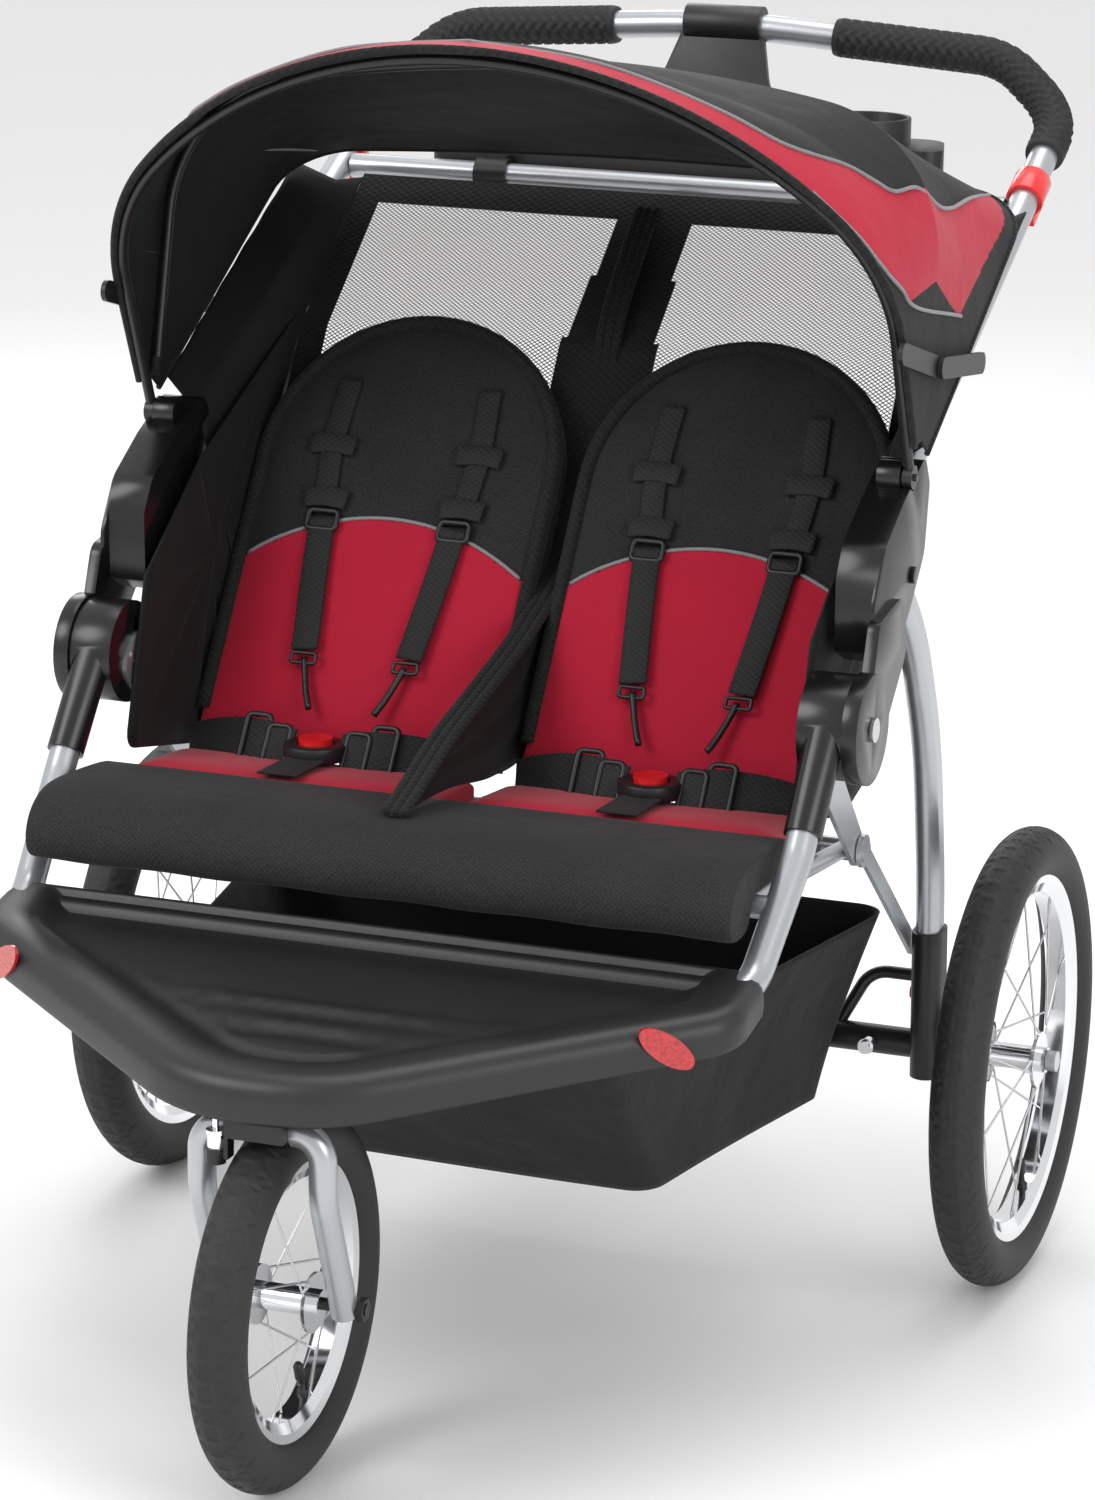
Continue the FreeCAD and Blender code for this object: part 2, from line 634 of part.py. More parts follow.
def fork():
    """Two bent fork tubes, and the crown casting, steering bolt, axle and nuts that join them."""
    axle_y, axle_z = -size("wheelbase"), size("front_wheel_od") / 2
    crown_y = size("caster_y")
    tube = size("fork_tube_od")
    crown_z = 305
    block_end = 26
    path = [at(50, axle_y - 2, axle_z - 4), at(50, crown_y + 9, crown_z - 52),
            at(50, crown_y + 9, crown_z), at(block_end, crown_y + 9, crown_z)]
    leg = bent_tube(path, [0, 60, 22, 0], tube, size("tube_wall"))
    leg = leg.cut(cross_rod(0, 80, axle_y, axle_z, size("axle_od")))
    shape_node("fork_legs", *both(leg))
    lock_x, lock_y = lock_place()
    crown = Part.makeBox(2 * block_end, 29, 15, at(-block_end, crown_y - 13, 301))
    crown = crown.fuse(Part.makeBox(7, 12, 17, at(-block_end, crown_y - 13, 284)))
    crown = crown.fuse(Part.makeCylinder(8, 12, at(lock_x, lock_y, 280), ALONG_Z))
    crown = crown.cut(Part.makeCylinder(6.5 + size("running_fit"), 40,
                                        at(lock_x, lock_y, 283), ALONG_Z))
    crown = crown.cut(Part.makeCylinder(8, 20, at(lock_x, lock_y, 300), ALONG_Z))
    bolt = Part.makeCylinder(size("caster_bolt_od") / 2, 38, at(0, crown_y, 310), ALONG_Z)
    nut = Part.makeCylinder(8, 5, at(0, crown_y, 345.4), ALONG_Z)
    fittings = [crown.fuse(bolt).fuse(nut).removeSplitter(),
                cross_rod(-68, 68, axle_y, axle_z, size("axle_od"))]
    for side in SIDES:
        hexagon = hex_nut(side * 61.2, side * 67, axle_y, axle_z, 17)
        fittings.append(hexagon.cut(cross_rod(-80, 80, axle_y, axle_z, size("axle_od"))))
    shape_node("fork_fittings", *fittings)


def swivel_lock():
    """Capped barrel with a pin, pushed up into the steering head to hold the fork straight."""
    x, y = lock_place()
    barrel = Part.makeCylinder(6.5, 14, at(x, y, 289), ALONG_Z)
    cap = Part.makeCylinder(7.5, 3.5, at(x, y, 303), ALONG_Z)
    pin = Part.makeCylinder(2.5, 30, at(x, y, 286.5), ALONG_Z)
    shape_node("swivel_lock", barrel.fuse(cap).fuse(pin).removeSplitter())


def hex_nut(x_low, x_high, y, z, across):
    corners = [polar(y, z, across / math.sqrt(3), 60 * i) for i in range(6)]
    return side_plate(x_low, x_high, corners, 0)


# ------------------------------------------------------------------ upper frame
def handle_height(y):
    """Height of the straight stretch of the handle tube."""
    return 690 + (y + 225) * math.tan(math.radians(size("handle_rise")))


def handle_points():
    width, back = size("half_width"), size("bar_back")
    knee = back - 19
    return [at(width, -225, 690), at(width, knee, handle_height(knee)),
            at(262, back, size("bar_height") - size("bar_bow")),
            at(0, back - 7, size("bar_height"))]


def handle_wire(points, radii):
    left = points
    right = [at(-p.x, p.y, p.z) for p in reversed(left[:-1])]
    return rounded_wire(left + right, radii + radii[-2::-1], closed=False)


def handle_tube():
    wire = handle_wire(handle_points(), [0, 58, 70, 900])
    outer = swept(wire, size("tube_od"))
    inner = swept(wire, size("tube_od") - 2 * size("tube_wall"))
    shape_node("handle_tube", outer.cut(inner))


def handle_grips():
    """Foam sleeves round the corners of the handlebar."""
    points = handle_points()
    bar_start = points[3] + (points[2] - points[3]) * 0.40
    tail = points[1] + (points[0] - points[1]) * 0.10
    wire = rounded_wire([tail, points[1], points[2], bar_start], [0, 58, 70, 0], closed=False)
    grip = swept(wire, size("grip_od")).cut(swept(wire, size("tube_od") + 0.1))
    shape_node("handle_grips", *both(grip))


def cross_tube():
    y = size("cross_back")
    reach = size("half_width") - size("tube_od") / 2 - 0.3
    tube = cross_rod(-reach, reach, y, handle_height(y), size("tube_od") - 3)
    shape_node("cross_tube", tube.cut(cross_rod(-reach, reach, y, handle_height(y),
                                               size("tube_od") - 6)))


def upper_hinges():
    """Casting that carries the handle tube and the rear leg and turns on the fold hinge."""
    width = size("half_width")
    hinge_y, hinge_z = size("hinge_y"), size("hinge_z")
    leg_y, leg_z = size("leg_pivot_y"), size("leg_pivot_z")
    inner = width - size("tube_od") / 2 - 3.5
    outer = inner + size("housing_width")
    plane = size("drum_outer") + size("moving_gap")
    outline = [(-238, 596), (-272, 612), (-279, 650), (-252, 694), (-205, 722), (-146, 750),
               (-131, 724), (-140, 668), (-176, 628), (-212, 596)]
    body = side_plate(inner, outer, outline, [6, 20, 26, 30, 60, 10, 12, 30, 30, 6])
    cheek = cross_rod(plane, plane + size("cheek_thick"), hinge_y, hinge_z, size("drum_od") + 4)
    neck = side_plate(plane, plane + size("cheek_thick") - 3,
                      [(-300, 590), (-282, 640), (-220, 650), (-205, 600), (-262, 545)],
                      [10, 15, 15, 20, 10])
    hub_y, hub_z = size("canopy_pivot_y"), size("canopy_pivot_z")
    bow_low, bow_high = bow_planes()
    hub = cross_rod(width - 8, bow_low - size("moving_gap"), hub_y, hub_z, 26)
    casting = body.fuse(hub).cut(cross_rod(bow_low - size("moving_gap"), bow_high + 20, hub_y,
                                           hub_z, 22))
    casting = casting.fuse(cross_rod(width, bow_high + 2, hub_y, hub_z, 6))
    casting = casting.fuse(cheek).fuse(neck)
    casting = casting.cut(cross_rod(inner - 1, plane, hinge_y, hinge_z,
                                    size("drum_od") + 2 * 1.5))
    casting = casting.cut(folded_front_tube(inner - 1, plane))
    turning = size("hinge_pin_od") + 2 * size("running_fit")
    casting = casting.cut(cross_rod(plane - 1, plane + 40, hinge_y, hinge_z, turning))
    start, knee = handle_points()[:2]
    casting = casting.cut(rod(start, knee, size("tube_od")))
    slot_low = width - size("leg_width") / 2 - size("moving_gap")
    slot_high = width + size("leg_width") / 2 + size("moving_gap")
    slot = side_plate(slot_low, slot_high,
                      [(leg_y - 29, leg_z + 24), (leg_y - 52, leg_z - 66), (leg_y + 140, 560),
                       (leg_y + 140, leg_z + 4), (leg_y + 22, leg_z + 24)], [20, 0, 0, 0, 20])
    casting = casting.cut(slot)
    casting = casting.cut(cross_rod(inner - 1, outer + 1, leg_y, leg_z, size("leg_bolt_od")))
    casting = max(casting.Solids, key=lambda solid: solid.Volume)
    bolt = cross_rod(inner - 3, outer + 3, leg_y, leg_z, size("leg_bolt_od"))
    for x in (inner - 3, outer):
        bolt = bolt.fuse(cross_rod(x, x + 3, leg_y, leg_z, 14))
    shape_node("upper_hinges", *both(casting), *both(bolt.removeSplitter()))


FOLD_ANGLE = 140.0


def bow_planes():
    """Inner and outer faces of the canopy bows, just inside the hood."""
    outer = size("canopy_half") - size("canopy_cloth") - 0.5
    return outer - size("bow_od"), outer


def turned_about_hinge(solid, degrees):
    centre = at(0, size("hinge_y"), size("hinge_z"))
    turned = solid.copy()
    turned.rotate(centre, ALONG_X, degrees)
    return turned


def folded_front_tube(x_low, x_high):
    """Room that the sleeve and front tube need when the frame is folded."""
    start, knee = front_tube_points()[:2]
    along = (knee - start).normalize()
    across = Vector(0, along.z, -along.y)
    half = size("socket_od") / 2 + 1.5
    room = [start - along * 10 - across * half, start - along * 10 + across * half,
            start + along * 150 + across * half, start + along * 150 - across * half]
    ahead = Part.Face(Part.makePolygon(
        [at(x_low, p.y, p.z) for p in room + room[:1]])).extrude(Vector(x_high - x_low, 0, 0))
    return turned_about_hinge(ahead, -FOLD_ANGLE)


def console():
    """Parent tray: body with two cup holders, a pocket, and an arm clipped to the handlebar."""
    half = size("console_half")
    cup = size("cup_bore") / 2
    wall = size("cup_wall")
    base = 903.0
    top = 948.0
    cup_y = 248.0
    body = plate([at(-half, 206, base), at(half, 206, base), at(half - 22, 286, base),
                  at(-half + 22, 286, base)], [16, 16, 26, 26], ALONG_Z * (top - base))
    for side in SIDES:
        centre = at(side * size("cup_spacing") / 2, cup_y, base)
        body = body.fuse(Part.makeCylinder(cup + wall, top - base + 22, centre, ALONG_Z))
    pocket = plate([at(-92, 214, base + 8), at(92, 214, base + 8), at(92, 272, base + 8),
                    at(-92, 272, base + 8)], 12, ALONG_Z * 60)
    body = body.cut(pocket)
    bar = handle_points()[3]
    arm_lean = math.atan2(bar.z - 930, bar.y - 276)
    arm_up = Vector(0, math.cos(arm_lean), math.sin(arm_lean))
    arm_normal = Vector(0, -math.sin(arm_lean), math.cos(arm_lean))
    foot = at(0, 276, 930)
    reach = (bar - foot).Length
    outline = [foot + ALONG_X * -112, foot + ALONG_X * 112,
               foot + ALONG_X * 52 + arm_up * reach * 0.5, foot + ALONG_X * 36 + arm_up * reach,
               foot + ALONG_X * -36 + arm_up * reach,
               foot + ALONG_X * -52 + arm_up * reach * 0.5]
    arm = plate([p + arm_normal * 4 for p in outline], [2, 2, 40, 2, 2, 40], arm_normal * -8)
    clip = cross_rod(-36, 36, bar.y, bar.z, size("tube_od") + 8)
    body = body.fuse(arm).fuse(clip)
    body = body.cut(bar_envelope())
    for side in SIDES:
        centre = at(side * size("cup_spacing") / 2, cup_y, base)
        body = body.cut(Part.makeCylinder(cup, 100, centre + ALONG_Z * 5, ALONG_Z))
    shape_node("console", max(body.Solids, key=lambda solid: solid.Volume))


def bar_envelope():
    """The handlebar's own space."""
    return swept(handle_wire(handle_points(), [0, 58, 70, 900]), size("tube_od") + 0.2)


def console_clamps():
    """Two brackets that hold the console on the cross tube."""
    y = size("cross_back")
    z = handle_height(y)
    solids = []
    bore = size("tube_od") - 3
    for side in SIDES:
        x = side * 170
        ring = cross_rod(x - 15, x + 15, y, z, bore + 8)
        block = Part.makeBox(22, 206 - y, 18, at(x - 11, y, z - 1))
        bracket = ring.fuse(block).cut(cross_rod(x - 30, x + 30, y, z, bore))
        solids.append(bracket)
    shape_node("console_clamps", *solids)


def fold_levers():
    """Squeeze levers that slide up the handle tube to free the fold latch."""
    start, knee = handle_points()[:2]
    along = (knee - start).normalize()
    across = Vector(0, -along.z, along.y)
    middle = start + along * ((217 + 225) / along.y)
    bore = size("tube_od") + 2 * 0.3
    sleeve = rod(middle - along * 15, middle + along * 15, bore + 7)
    wing = Part.makeBox(16, 34, 9).translated(Vector(-8, -17, 0))
    frame = FreeCAD.Rotation(ALONG_X, along, across, "XYZ")
    wing.Placement = FreeCAD.Placement(middle - across * 24 - along * 2, frame).multiply(
        wing.Placement)
    lever = sleeve.fuse(wing).cut(rod(middle - along * 60, middle + along * 60, bore))
    lever = lever.removeSplitter()
    shape_node("fold_lever_left", lever)
    shape_node("fold_lever_right", mirrored(lever))


# ------------------------------------------------------------------ rear legs and axle
def leg_points():
    return [(size("leg_pivot_y") - 6, size("leg_pivot_z") + 5), (-95, 585), (-40, 480),
            (-14, 350), (-3, 176)]


def oval(y, z, heading, width, depth):
    """Flat-sided oval section across a heading in the side plane."""
    across = Vector(0, -heading.z, heading.y)
    x = ALONG_X * (width / 2)
    flat = across * (depth / 2 - width / 2)
    centre = at(size("half_width"), y, z)
    round_out = across * (depth / 2)
    edges = [Part.LineSegment(centre + x - flat, centre + x + flat).toShape(),
             Part.Arc(centre + x + flat, centre + round_out, centre - x + flat).toShape(),
             Part.LineSegment(centre - x + flat, centre - x - flat).toShape(),
             Part.Arc(centre - x - flat, centre - round_out, centre + x - flat).toShape()]
    return Part.Wire(Part.__sortEdges__(edges))


def leg_sweep(points, radii, width, depth):
    path = rounded_wire(in_side_plane(size("half_width"), points), radii, closed=False)
    heading = Vector(0, points[1][0] - points[0][0], points[1][1] - points[0][1]).normalize()
    section = oval(points[0][0], points[0][1], heading, width, depth)
    return path.makePipeShell([section], True, False)


def rear_legs():
    """Curved oval tubes from the upper hinges down to the axle sockets."""
    points = leg_points()
    width, depth = size("leg_width"), size("leg_depth")
    wall = size("tube_wall")
    radii = [0, 240, 330, 480, 0]
    outer = leg_sweep(points, radii, width, depth)
    inner = leg_sweep(points, radii, width - 2 * wall, depth - 2 * wall)
    pivot_y, pivot_z = size("leg_pivot_y"), size("leg_pivot_z")
    bush = cross_rod(size("half_width") - width / 2, size("half_width") + width / 2,
                     pivot_y, pivot_z, 18)
    leg = outer.cut(inner).fuse(bush)
    leg = leg.cut(cross_rod(0, 400, pivot_y, pivot_z,
                            size("leg_bolt_od") + 2 * size("running_fit")))
    leg = leg.cut(cross_rod(200, 400, 0, size("rear_wheel_od") / 2, size("axle_od")))
    shape_node("rear_legs", *both(max(leg.Solids, key=lambda solid: solid.Volume)))


def leg_sockets():
    """Plastic sockets that join the legs to the axle tube."""
    wall = size("leg_socket_wall")
    width, depth = size("leg_width"), size("leg_depth")
    points = leg_points()
    tail = [(-11.4, 309), (-3, 176)]
    socket = leg_sweep(tail, [0, 0], width + 2 * wall, depth + 2 * wall)
    socket = socket.cut(leg_sweep(points, [0, 240, 330, 480, 0], width, depth))
    socket = socket.cut(cross_rod(200, 400, 0, size("rear_wheel_od") / 2, size("axle_od")))
    shape_node("leg_sockets", *both(max(socket.Solids, key=lambda solid: solid.Volume)))


def axle_tube():
    """Cross tube between the sockets, bored for the wheel release pins."""
    height = size("rear_wheel_od") / 2
    reach = size("half_width") - size("leg_width") / 2 - size("leg_socket_wall") - 0.2
    tube = cross_rod(-reach, reach, 0, height, size("tube_od"))
    tube = tube.cut(cross_rod(-reach, reach, 0, height, size("tube_od") - 4))
    for side in SIDES:
        x = side * 270
        pin = size("leg_bolt_od") / 2 + size("running_fit")
        tube = tube.cut(Part.makeCylinder(pin, 20, at(x, 0, height), Vector(0, -1, 0)))
    shape_node("axle_tube", tube)


def axle_braces():
    """Bent stays from the axle tube to the backs of the sockets, clear of the fold links."""
    height = size("rear_wheel_od") / 2
    wall = size("leg_socket_wall")
    path = rounded_wire([at(236, 3, height + 8), at(262, 12, 258), at(size("half_width"), 12, 258)],
                        [0, 26, 0], closed=False)
    brace = swept(path, 11)
    brace = brace.cut(cross_rod(200, 290, 0, height, size("tube_od")))
    socket = leg_sweep([(-11.4, 309), (-3, 176)], [0, 0], size("leg_width") + 2 * wall,
                       size("leg_depth") + 2 * wall)
    brace = brace.cut(socket)
    shape_node("axle_braces", *both(max(brace.Solids, key=lambda solid: solid.Volume)))


def rear_axles():
    """Stub axles with end caps."""
    height = size("rear_wheel_od") / 2
    inner = size("half_width") - 34
    outer = size("rear_track") / 2 + size("rear_hub_length") / 2
    stub = cross_rod(inner, outer + 4, 0, height, size("axle_od"))
    cap = cross_rod(outer + 0.6, outer + 9, 0, height, 18)
    shape_node("rear_axles", *both(stub.fuse(cap).removeSplitter()))


def release_pins():
    """Push-button pins on the axle tube that free the rear wheels."""
    height = size("rear_wheel_od") / 2
    for side, name in zip(SIDES, ("left", "right")):
        x = side * 270
        radius = size("leg_bolt_od") / 2
        pin = Part.makeCylinder(radius, 22, at(x, -5.5, height), Vector(0, -1, 0))
        collar = Part.makeCylinder(7, 8, at(x, -18, height), Vector(0, -1, 0))
        knob = Part.makeCylinder(5.5, 5, at(x, -26, height), Vector(0, -1, 0))
        shape_node("release_pin_" + name, pin.fuse(collar).fuse(knob).removeSplitter())


def brake_levers():
    """Foot levers on the sockets."""
    face = size("half_width") - size("leg_width") / 2 - size("leg_socket_wall")
    for side, name in zip(SIDES, ("left", "right")):
        high = side * (face - size("moving_gap"))
        low = side * (face - size("moving_gap") - 5)
        lever = side_plate(low, high, [(17, 232), (34, 226), (74, 246), (82, 262), (72, 268),
                                       (30, 254), (17, 250)], [5, 6, 12, 5, 5, 15, 5])
        pad = side_plate(low - side * 16, high, [(62, 252), (82, 262), (72, 268), (56, 262)],
                         [2, 3, 3, 2])
        boss = cross_rod(low - side * 4, high, 18, 241, 12)
        lever = lever.fuse(pad).fuse(boss)
        shape_node("brake_lever_" + name, lever.removeSplitter())


def fold_links():
    """Bars that tie the rear legs to the rear seat tube while the frame folds."""
    top = size("link_pivot_y"), size("link_pivot_z")
    foot = size("link_foot_y"), size("link_foot_z")
    plane = size("drum_inner") + 1
    thick = size("link_thick")
    run = Vector(0, foot[0] - top[0], foot[1] - top[1]).normalize()
    across = Vector(0, -run.z, run.y) * (size("link_width") / 2)
    corners = [(top[0] + across.y, top[1] + across.z), (foot[0] + across.y, foot[1] + across.z),
               (foot[0] - across.y, foot[1] - across.z), (top[0] - across.y, top[1] - across.z)]
    bar = side_plate(plane, plane + thick, corners, 0)
    bar = bar.fuse(cross_rod(plane, plane + thick, foot[0], foot[1], size("link_width")))
    eye = size("seat_tube_od") + 9
    bar = bar.fuse(cross_rod(plane, plane + thick, top[0], top[1], eye))
    bar = bar.cut(cross_rod(plane - 1, plane + thick + 1, top[0], top[1],
                            size("seat_tube_od") + 2 * size("running_fit")))
    bar = bar.cut(cross_rod(plane - 1, plane + thick + 1, foot[0], foot[1], 8))
    shape_node("fold_links", *both(bar.removeSplitter()))


# ------------------------------------------------------------------ soft goods
def arch_points(half, crown, side_height, corner, start):
    """Basket-handle arch in a plane through the canopy hinge: sides, corners and flat crown."""
    fall = (half - corner) ** 2
    low = side_height - crown
    top = (corner ** 2 - fall - low ** 2) / (2 * (low + corner))
    centre_high = crown - top
    reach = math.hypot(half - corner, side_height - centre_high)
    touch_x = (half - corner) / reach * top
    touch_h = centre_high + (side_height - centre_high) / reach * top
    half_turn = math.atan2(side_height - centre_high, half - corner) / 2
    mid_x = half - corner + corner * math.cos(half_turn)
    mid_h = side_height + corner * math.sin(half_turn)
    return [(-half, start), (-half, side_height), (-mid_x, mid_h), (-touch_x, touch_h),
            (0, crown), (touch_x, touch_h), (mid_x, mid_h), (half, side_height), (half, start)]


def arch_edges(angle, half, crown, side_height, corner, start):
    pivot_y, pivot_z = size("canopy_pivot_y"), size("canopy_pivot_z")
    points = []
    for x, height in arch_points(half, crown, side_height, corner, start):
        y, z = polar(pivot_y, pivot_z, height, angle)
        points.append(at(x, y, z))
    return [Part.LineSegment(points[0], points[1]).toShape(),
            Part.Arc(points[1], points[2], points[3]).toShape(),
            Part.Arc(points[3], points[4], points[5]).toShape(),
            Part.Arc(points[5], points[6], points[7]).toShape(),
            Part.LineSegment(points[7], points[8]).toShape()]


def hood_section(angle, crown, side_height, corner):
    """Closed band of cloth in one plane of the hood."""
    half = size("canopy_half")
    cloth = size("canopy_cloth")
    outer = arch_edges(angle, half, crown, side_height, corner, 32)
    inner = arch_edges(angle, half - cloth, crown - cloth, side_height, corner - cloth, 32)
    ends = [Part.LineSegment(outer[0].Vertexes[0].Point, inner[0].Vertexes[0].Point).toShape(),
            Part.LineSegment(outer[4].Vertexes[1].Point, inner[4].Vertexes[1].Point).toShape()]
    return Part.Wire(Part.__sortEdges__(outer + inner + ends))


def canopy_hood():
    reach = size("canopy_reach")
    sections = [hood_section(115, reach, 128, 178), hood_section(78, reach - 58, 170, 130),
                hood_section(30, reach + 12, 310, 66)]
    shape_node("canopy_hood", Part.makeLoft(sections, True, True))


def canopy_bow(angle, crown, side_height, corner, slack, start):
    """Bow rod just inside the hood."""
    half = sum(bow_planes()) / 2
    inset = size("canopy_cloth") + size("bow_od") / 2 + slack
    edges = arch_edges(angle, half, crown - inset, side_height, corner - inset, start)
    return swept(Part.Wire(Part.__sortEdges__(edges)), size("bow_od"))


def canopy_bows():
    """Front bow with eyes that turn on the hinge castings, and the middle bow."""
    reach = size("canopy_reach")
    pivot_y, pivot_z = size("canopy_pivot_y"), size("canopy_pivot_z")
    low, high = bow_planes()
    front = canopy_bow(113.6, reach, 128, 178, 9, 7)
    bore = 6 + 2 * size("running_fit")
    for side in SIDES:
        front = front.fuse(cross_rod(side * (low + 0.4), side * (high - 0.4), pivot_y, pivot_z, 20))
        front = front.cut(cross_rod(side * (low - 1), side * (high + 1), pivot_y, pivot_z, bore))
    shape_node("canopy_front_bow", front.removeSplitter())
    shape_node("canopy_mid_bow", canopy_bow(78, reach - 58, 170, 130, 1, 46))


def stay_arm(first, last, x):
    """Flat arm with rounded ends between two points in the side plane."""
    run = Vector(0, last[0] - first[0], last[1] - first[1]).normalize()
    across = Vector(0, -run.z, run.y) * 9
    corners = [(first[0] + across.y, first[1] + across.z), (last[0] + across.y, last[1] + across.z),
               (last[0] - across.y, last[1] - across.z), (first[0] - across.y, first[1] - across.z)]
    arm = side_plate(x, x + 4, corners, 0)
    for end in (first, last):
        arm = arm.fuse(cross_rod(x, x + 4, end[0], end[1], 18))
    return arm


def canopy_stays():
    """Two-arm stays on the outside of the hood, which lock it open."""
    x = size("canopy_half") + 1
    front, elbow, rear = (-246, 850), (-146, 823), (-33, 809)
    shape_node("canopy_stay_front", *both(stay_arm(front, elbow, x).removeSplitter()))
    shape_node("canopy_stay_rear", *both(stay_arm(elbow, rear, x + 4.5).removeSplitter()))


def side_sheet(points, radii, x, cloth):
    return both(side_plate(x, x + cloth, points, radii))


def side_panels():
    """Cloth walls beside the seats."""
    panel = [(-330, 480), (-292, 620), (-180, 700), (40, 800), (56, 775), (-120, 470),
             (-190, 452)]
    shape_node("side_panels", *side_sheet(panel, 12, 291, 2))


def back_panel():
    """Cloth wall with its windows, hung from the cross tube behind the seat backs."""
    y = size("cross_back")
    top = (y - 18, handle_height(y) - 4)
    bend = back_point(size("back_length") - 40, size("back_pad_thick") + 14)
    foot = back_point(30, size("back_pad_thick") + 14)
    line = [top, bend, foot, (foot[0] + 2, foot[1] - 1), (bend[0] + 3, bend[1] - 1),
            (top[0] + 3, top[1] - 1)]
    shape_node("back_panel", side_plate(-289, 289, line, 0))


def centre_divider():
    """Cloth wall between the two seats."""
    panel = [(-335, 492), (-230, 560), (40, 800), (52, 774), (-140, 480), (-215, 470)]
    shape_node("centre_divider", side_plate(-4, 4, panel, [14, 60, 10, 10, 30, 20]))


def basket():
    """Cloth bin under the seats: open top, sloping front."""
    floor, rim = size("basket_floor_z"), size("basket_rim_z")
    cloth = size("basket_cloth")
    low = [at(-185, -340, floor), at(185, -340, floor), at(238, -28, floor + 4),
           at(-238, -28, floor + 4)]
    high = [at(-205, -515, rim), at(205, -515, rim), at(290, -24, rim), at(-290, -24, rim)]

    def bin_wires(inset, lift):
        wires = []
        for corners, raise_by in ((low, lift), (high, 0)):
            moved = []
            for p in corners:
                moved.append(at(p.x - math.copysign(inset, p.x),
                                p.y + (inset if p.y < -200 else -inset), p.z + raise_by))
            wires.append(Part.makePolygon(moved + moved[:1]))
        return wires

    outer = Part.makeLoft(bin_wires(0, 0), True, True)
    inner = Part.makeLoft(bin_wires(cloth, cloth), True, True)
    above = Part.makeBox(900, 900, 100, at(-450, -700, rim - 0.5))
    shape_node("basket", outer.cut(inner).cut(above))


# ------------------------------------------------------------------ assembly
def check(things):
    """Every object recomputed, and every sub-part a valid shape."""
    for thing in doc.Objects:
        states = list(thing.State)
        if "Invalid" in states or "Error" in states:
            raise RuntimeError("%s did not recompute: %s" % (thing.Label, states))
    for thing in things:
        if thing.Shape.isNull() or not thing.Shape.isValid() or not thing.Shape.Solids:
            raise RuntimeError("%s has no valid solid" % thing.Label)


def main():
    wheels()
    brake_rings()
    front_frame_tube()
    lower_hinges()
    fold_pins()
    seat_frame()
    seat_boards_and_pads()
    seat_front_pad()
    seat_backs()
    harness()
    footrest_tray()
    tray_reflectors()
    steering_head()
    fork()
    swivel_lock()
    handle_tube()
    handle_grips()
    cross_tube()
    upper_hinges()
    console()
    console_clamps()
    fold_levers()
    rear_legs()
    leg_sockets()
    axle_tube()
    axle_braces()
    rear_axles()
    release_pins()
    brake_levers()
    fold_links()
    canopy_hood()
    canopy_bows()
    canopy_stays()
    side_panels()
    back_panel()
    centre_divider()
    basket()
    doc.recompute()
    check(NODES)
    os.makedirs("parts", exist_ok=True)
    for thing in NODES:
        thing.Shape.exportStep("parts/%s.step" % thing.Label)
    print("%d sub-parts" % len(NODES))


main()
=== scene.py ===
"""Two-seat jogging stroller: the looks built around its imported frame.

Laid out as a Blender add-on.  Every piece is made by one operator, and the stroller's side panel
in the 3D view lists them.  Sizes written as plain numbers in the makers below are millimetres from
the rear axle: X across, -Y forward, Z up from the floor.  spot() turns them into frame metres.
"""
import math

import bmesh
import bpy
import numpy as np
from mathutils import Matrix, Vector


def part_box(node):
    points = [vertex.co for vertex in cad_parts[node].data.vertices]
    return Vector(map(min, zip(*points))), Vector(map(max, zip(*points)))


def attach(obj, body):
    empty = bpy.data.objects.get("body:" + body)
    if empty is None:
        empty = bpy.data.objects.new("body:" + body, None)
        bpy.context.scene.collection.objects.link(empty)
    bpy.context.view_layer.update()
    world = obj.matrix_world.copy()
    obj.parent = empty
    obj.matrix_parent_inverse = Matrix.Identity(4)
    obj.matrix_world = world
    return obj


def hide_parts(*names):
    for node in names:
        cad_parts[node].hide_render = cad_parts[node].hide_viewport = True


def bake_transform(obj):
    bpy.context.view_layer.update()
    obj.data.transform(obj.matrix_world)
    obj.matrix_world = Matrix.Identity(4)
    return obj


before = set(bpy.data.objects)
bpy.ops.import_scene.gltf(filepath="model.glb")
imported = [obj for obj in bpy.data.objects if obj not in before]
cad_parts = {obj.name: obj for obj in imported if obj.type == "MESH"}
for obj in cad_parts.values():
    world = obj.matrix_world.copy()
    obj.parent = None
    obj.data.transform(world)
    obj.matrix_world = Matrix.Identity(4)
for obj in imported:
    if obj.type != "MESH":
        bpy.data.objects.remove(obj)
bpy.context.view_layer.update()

bl_info = {
    "name": "Two-seat jogging stroller",
    "version": (1, 0, 0),
    "blender": (4, 5, 0),
    "location": "View3D > Sidebar > Stroller",
    "description": "Builds the visible pieces of a side-by-side jogging stroller",
    "category": "Object",
}

AXLE_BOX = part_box("hub_rear_left")
AXLE_Y = (AXLE_BOX[0][1] + AXLE_BOX[1][1]) / 2
SIDES = (("left", 1), ("right", -1))


# ------------------------------------------------------------------ measures and mesh helpers
def spot(x, y, z):
    """A point given in millimetres from the rear axle, as frame metres."""
    return Vector((x / 1000, y / 1000 + AXLE_Y, z / 1000))


def mesh_piece(name, points, faces, smooth=True):
    """A new object from points in frame metres and faces."""
    mesh = bpy.data.meshes.new(name)
    mesh.from_pydata([tuple(p) for p in points], [], faces)
    mesh.polygons.foreach_set("use_smooth", [smooth] * len(mesh.polygons))
    mesh.update()
    piece = bpy.data.objects.new(name, mesh)
    bpy.context.collection.objects.link(piece)
    return piece


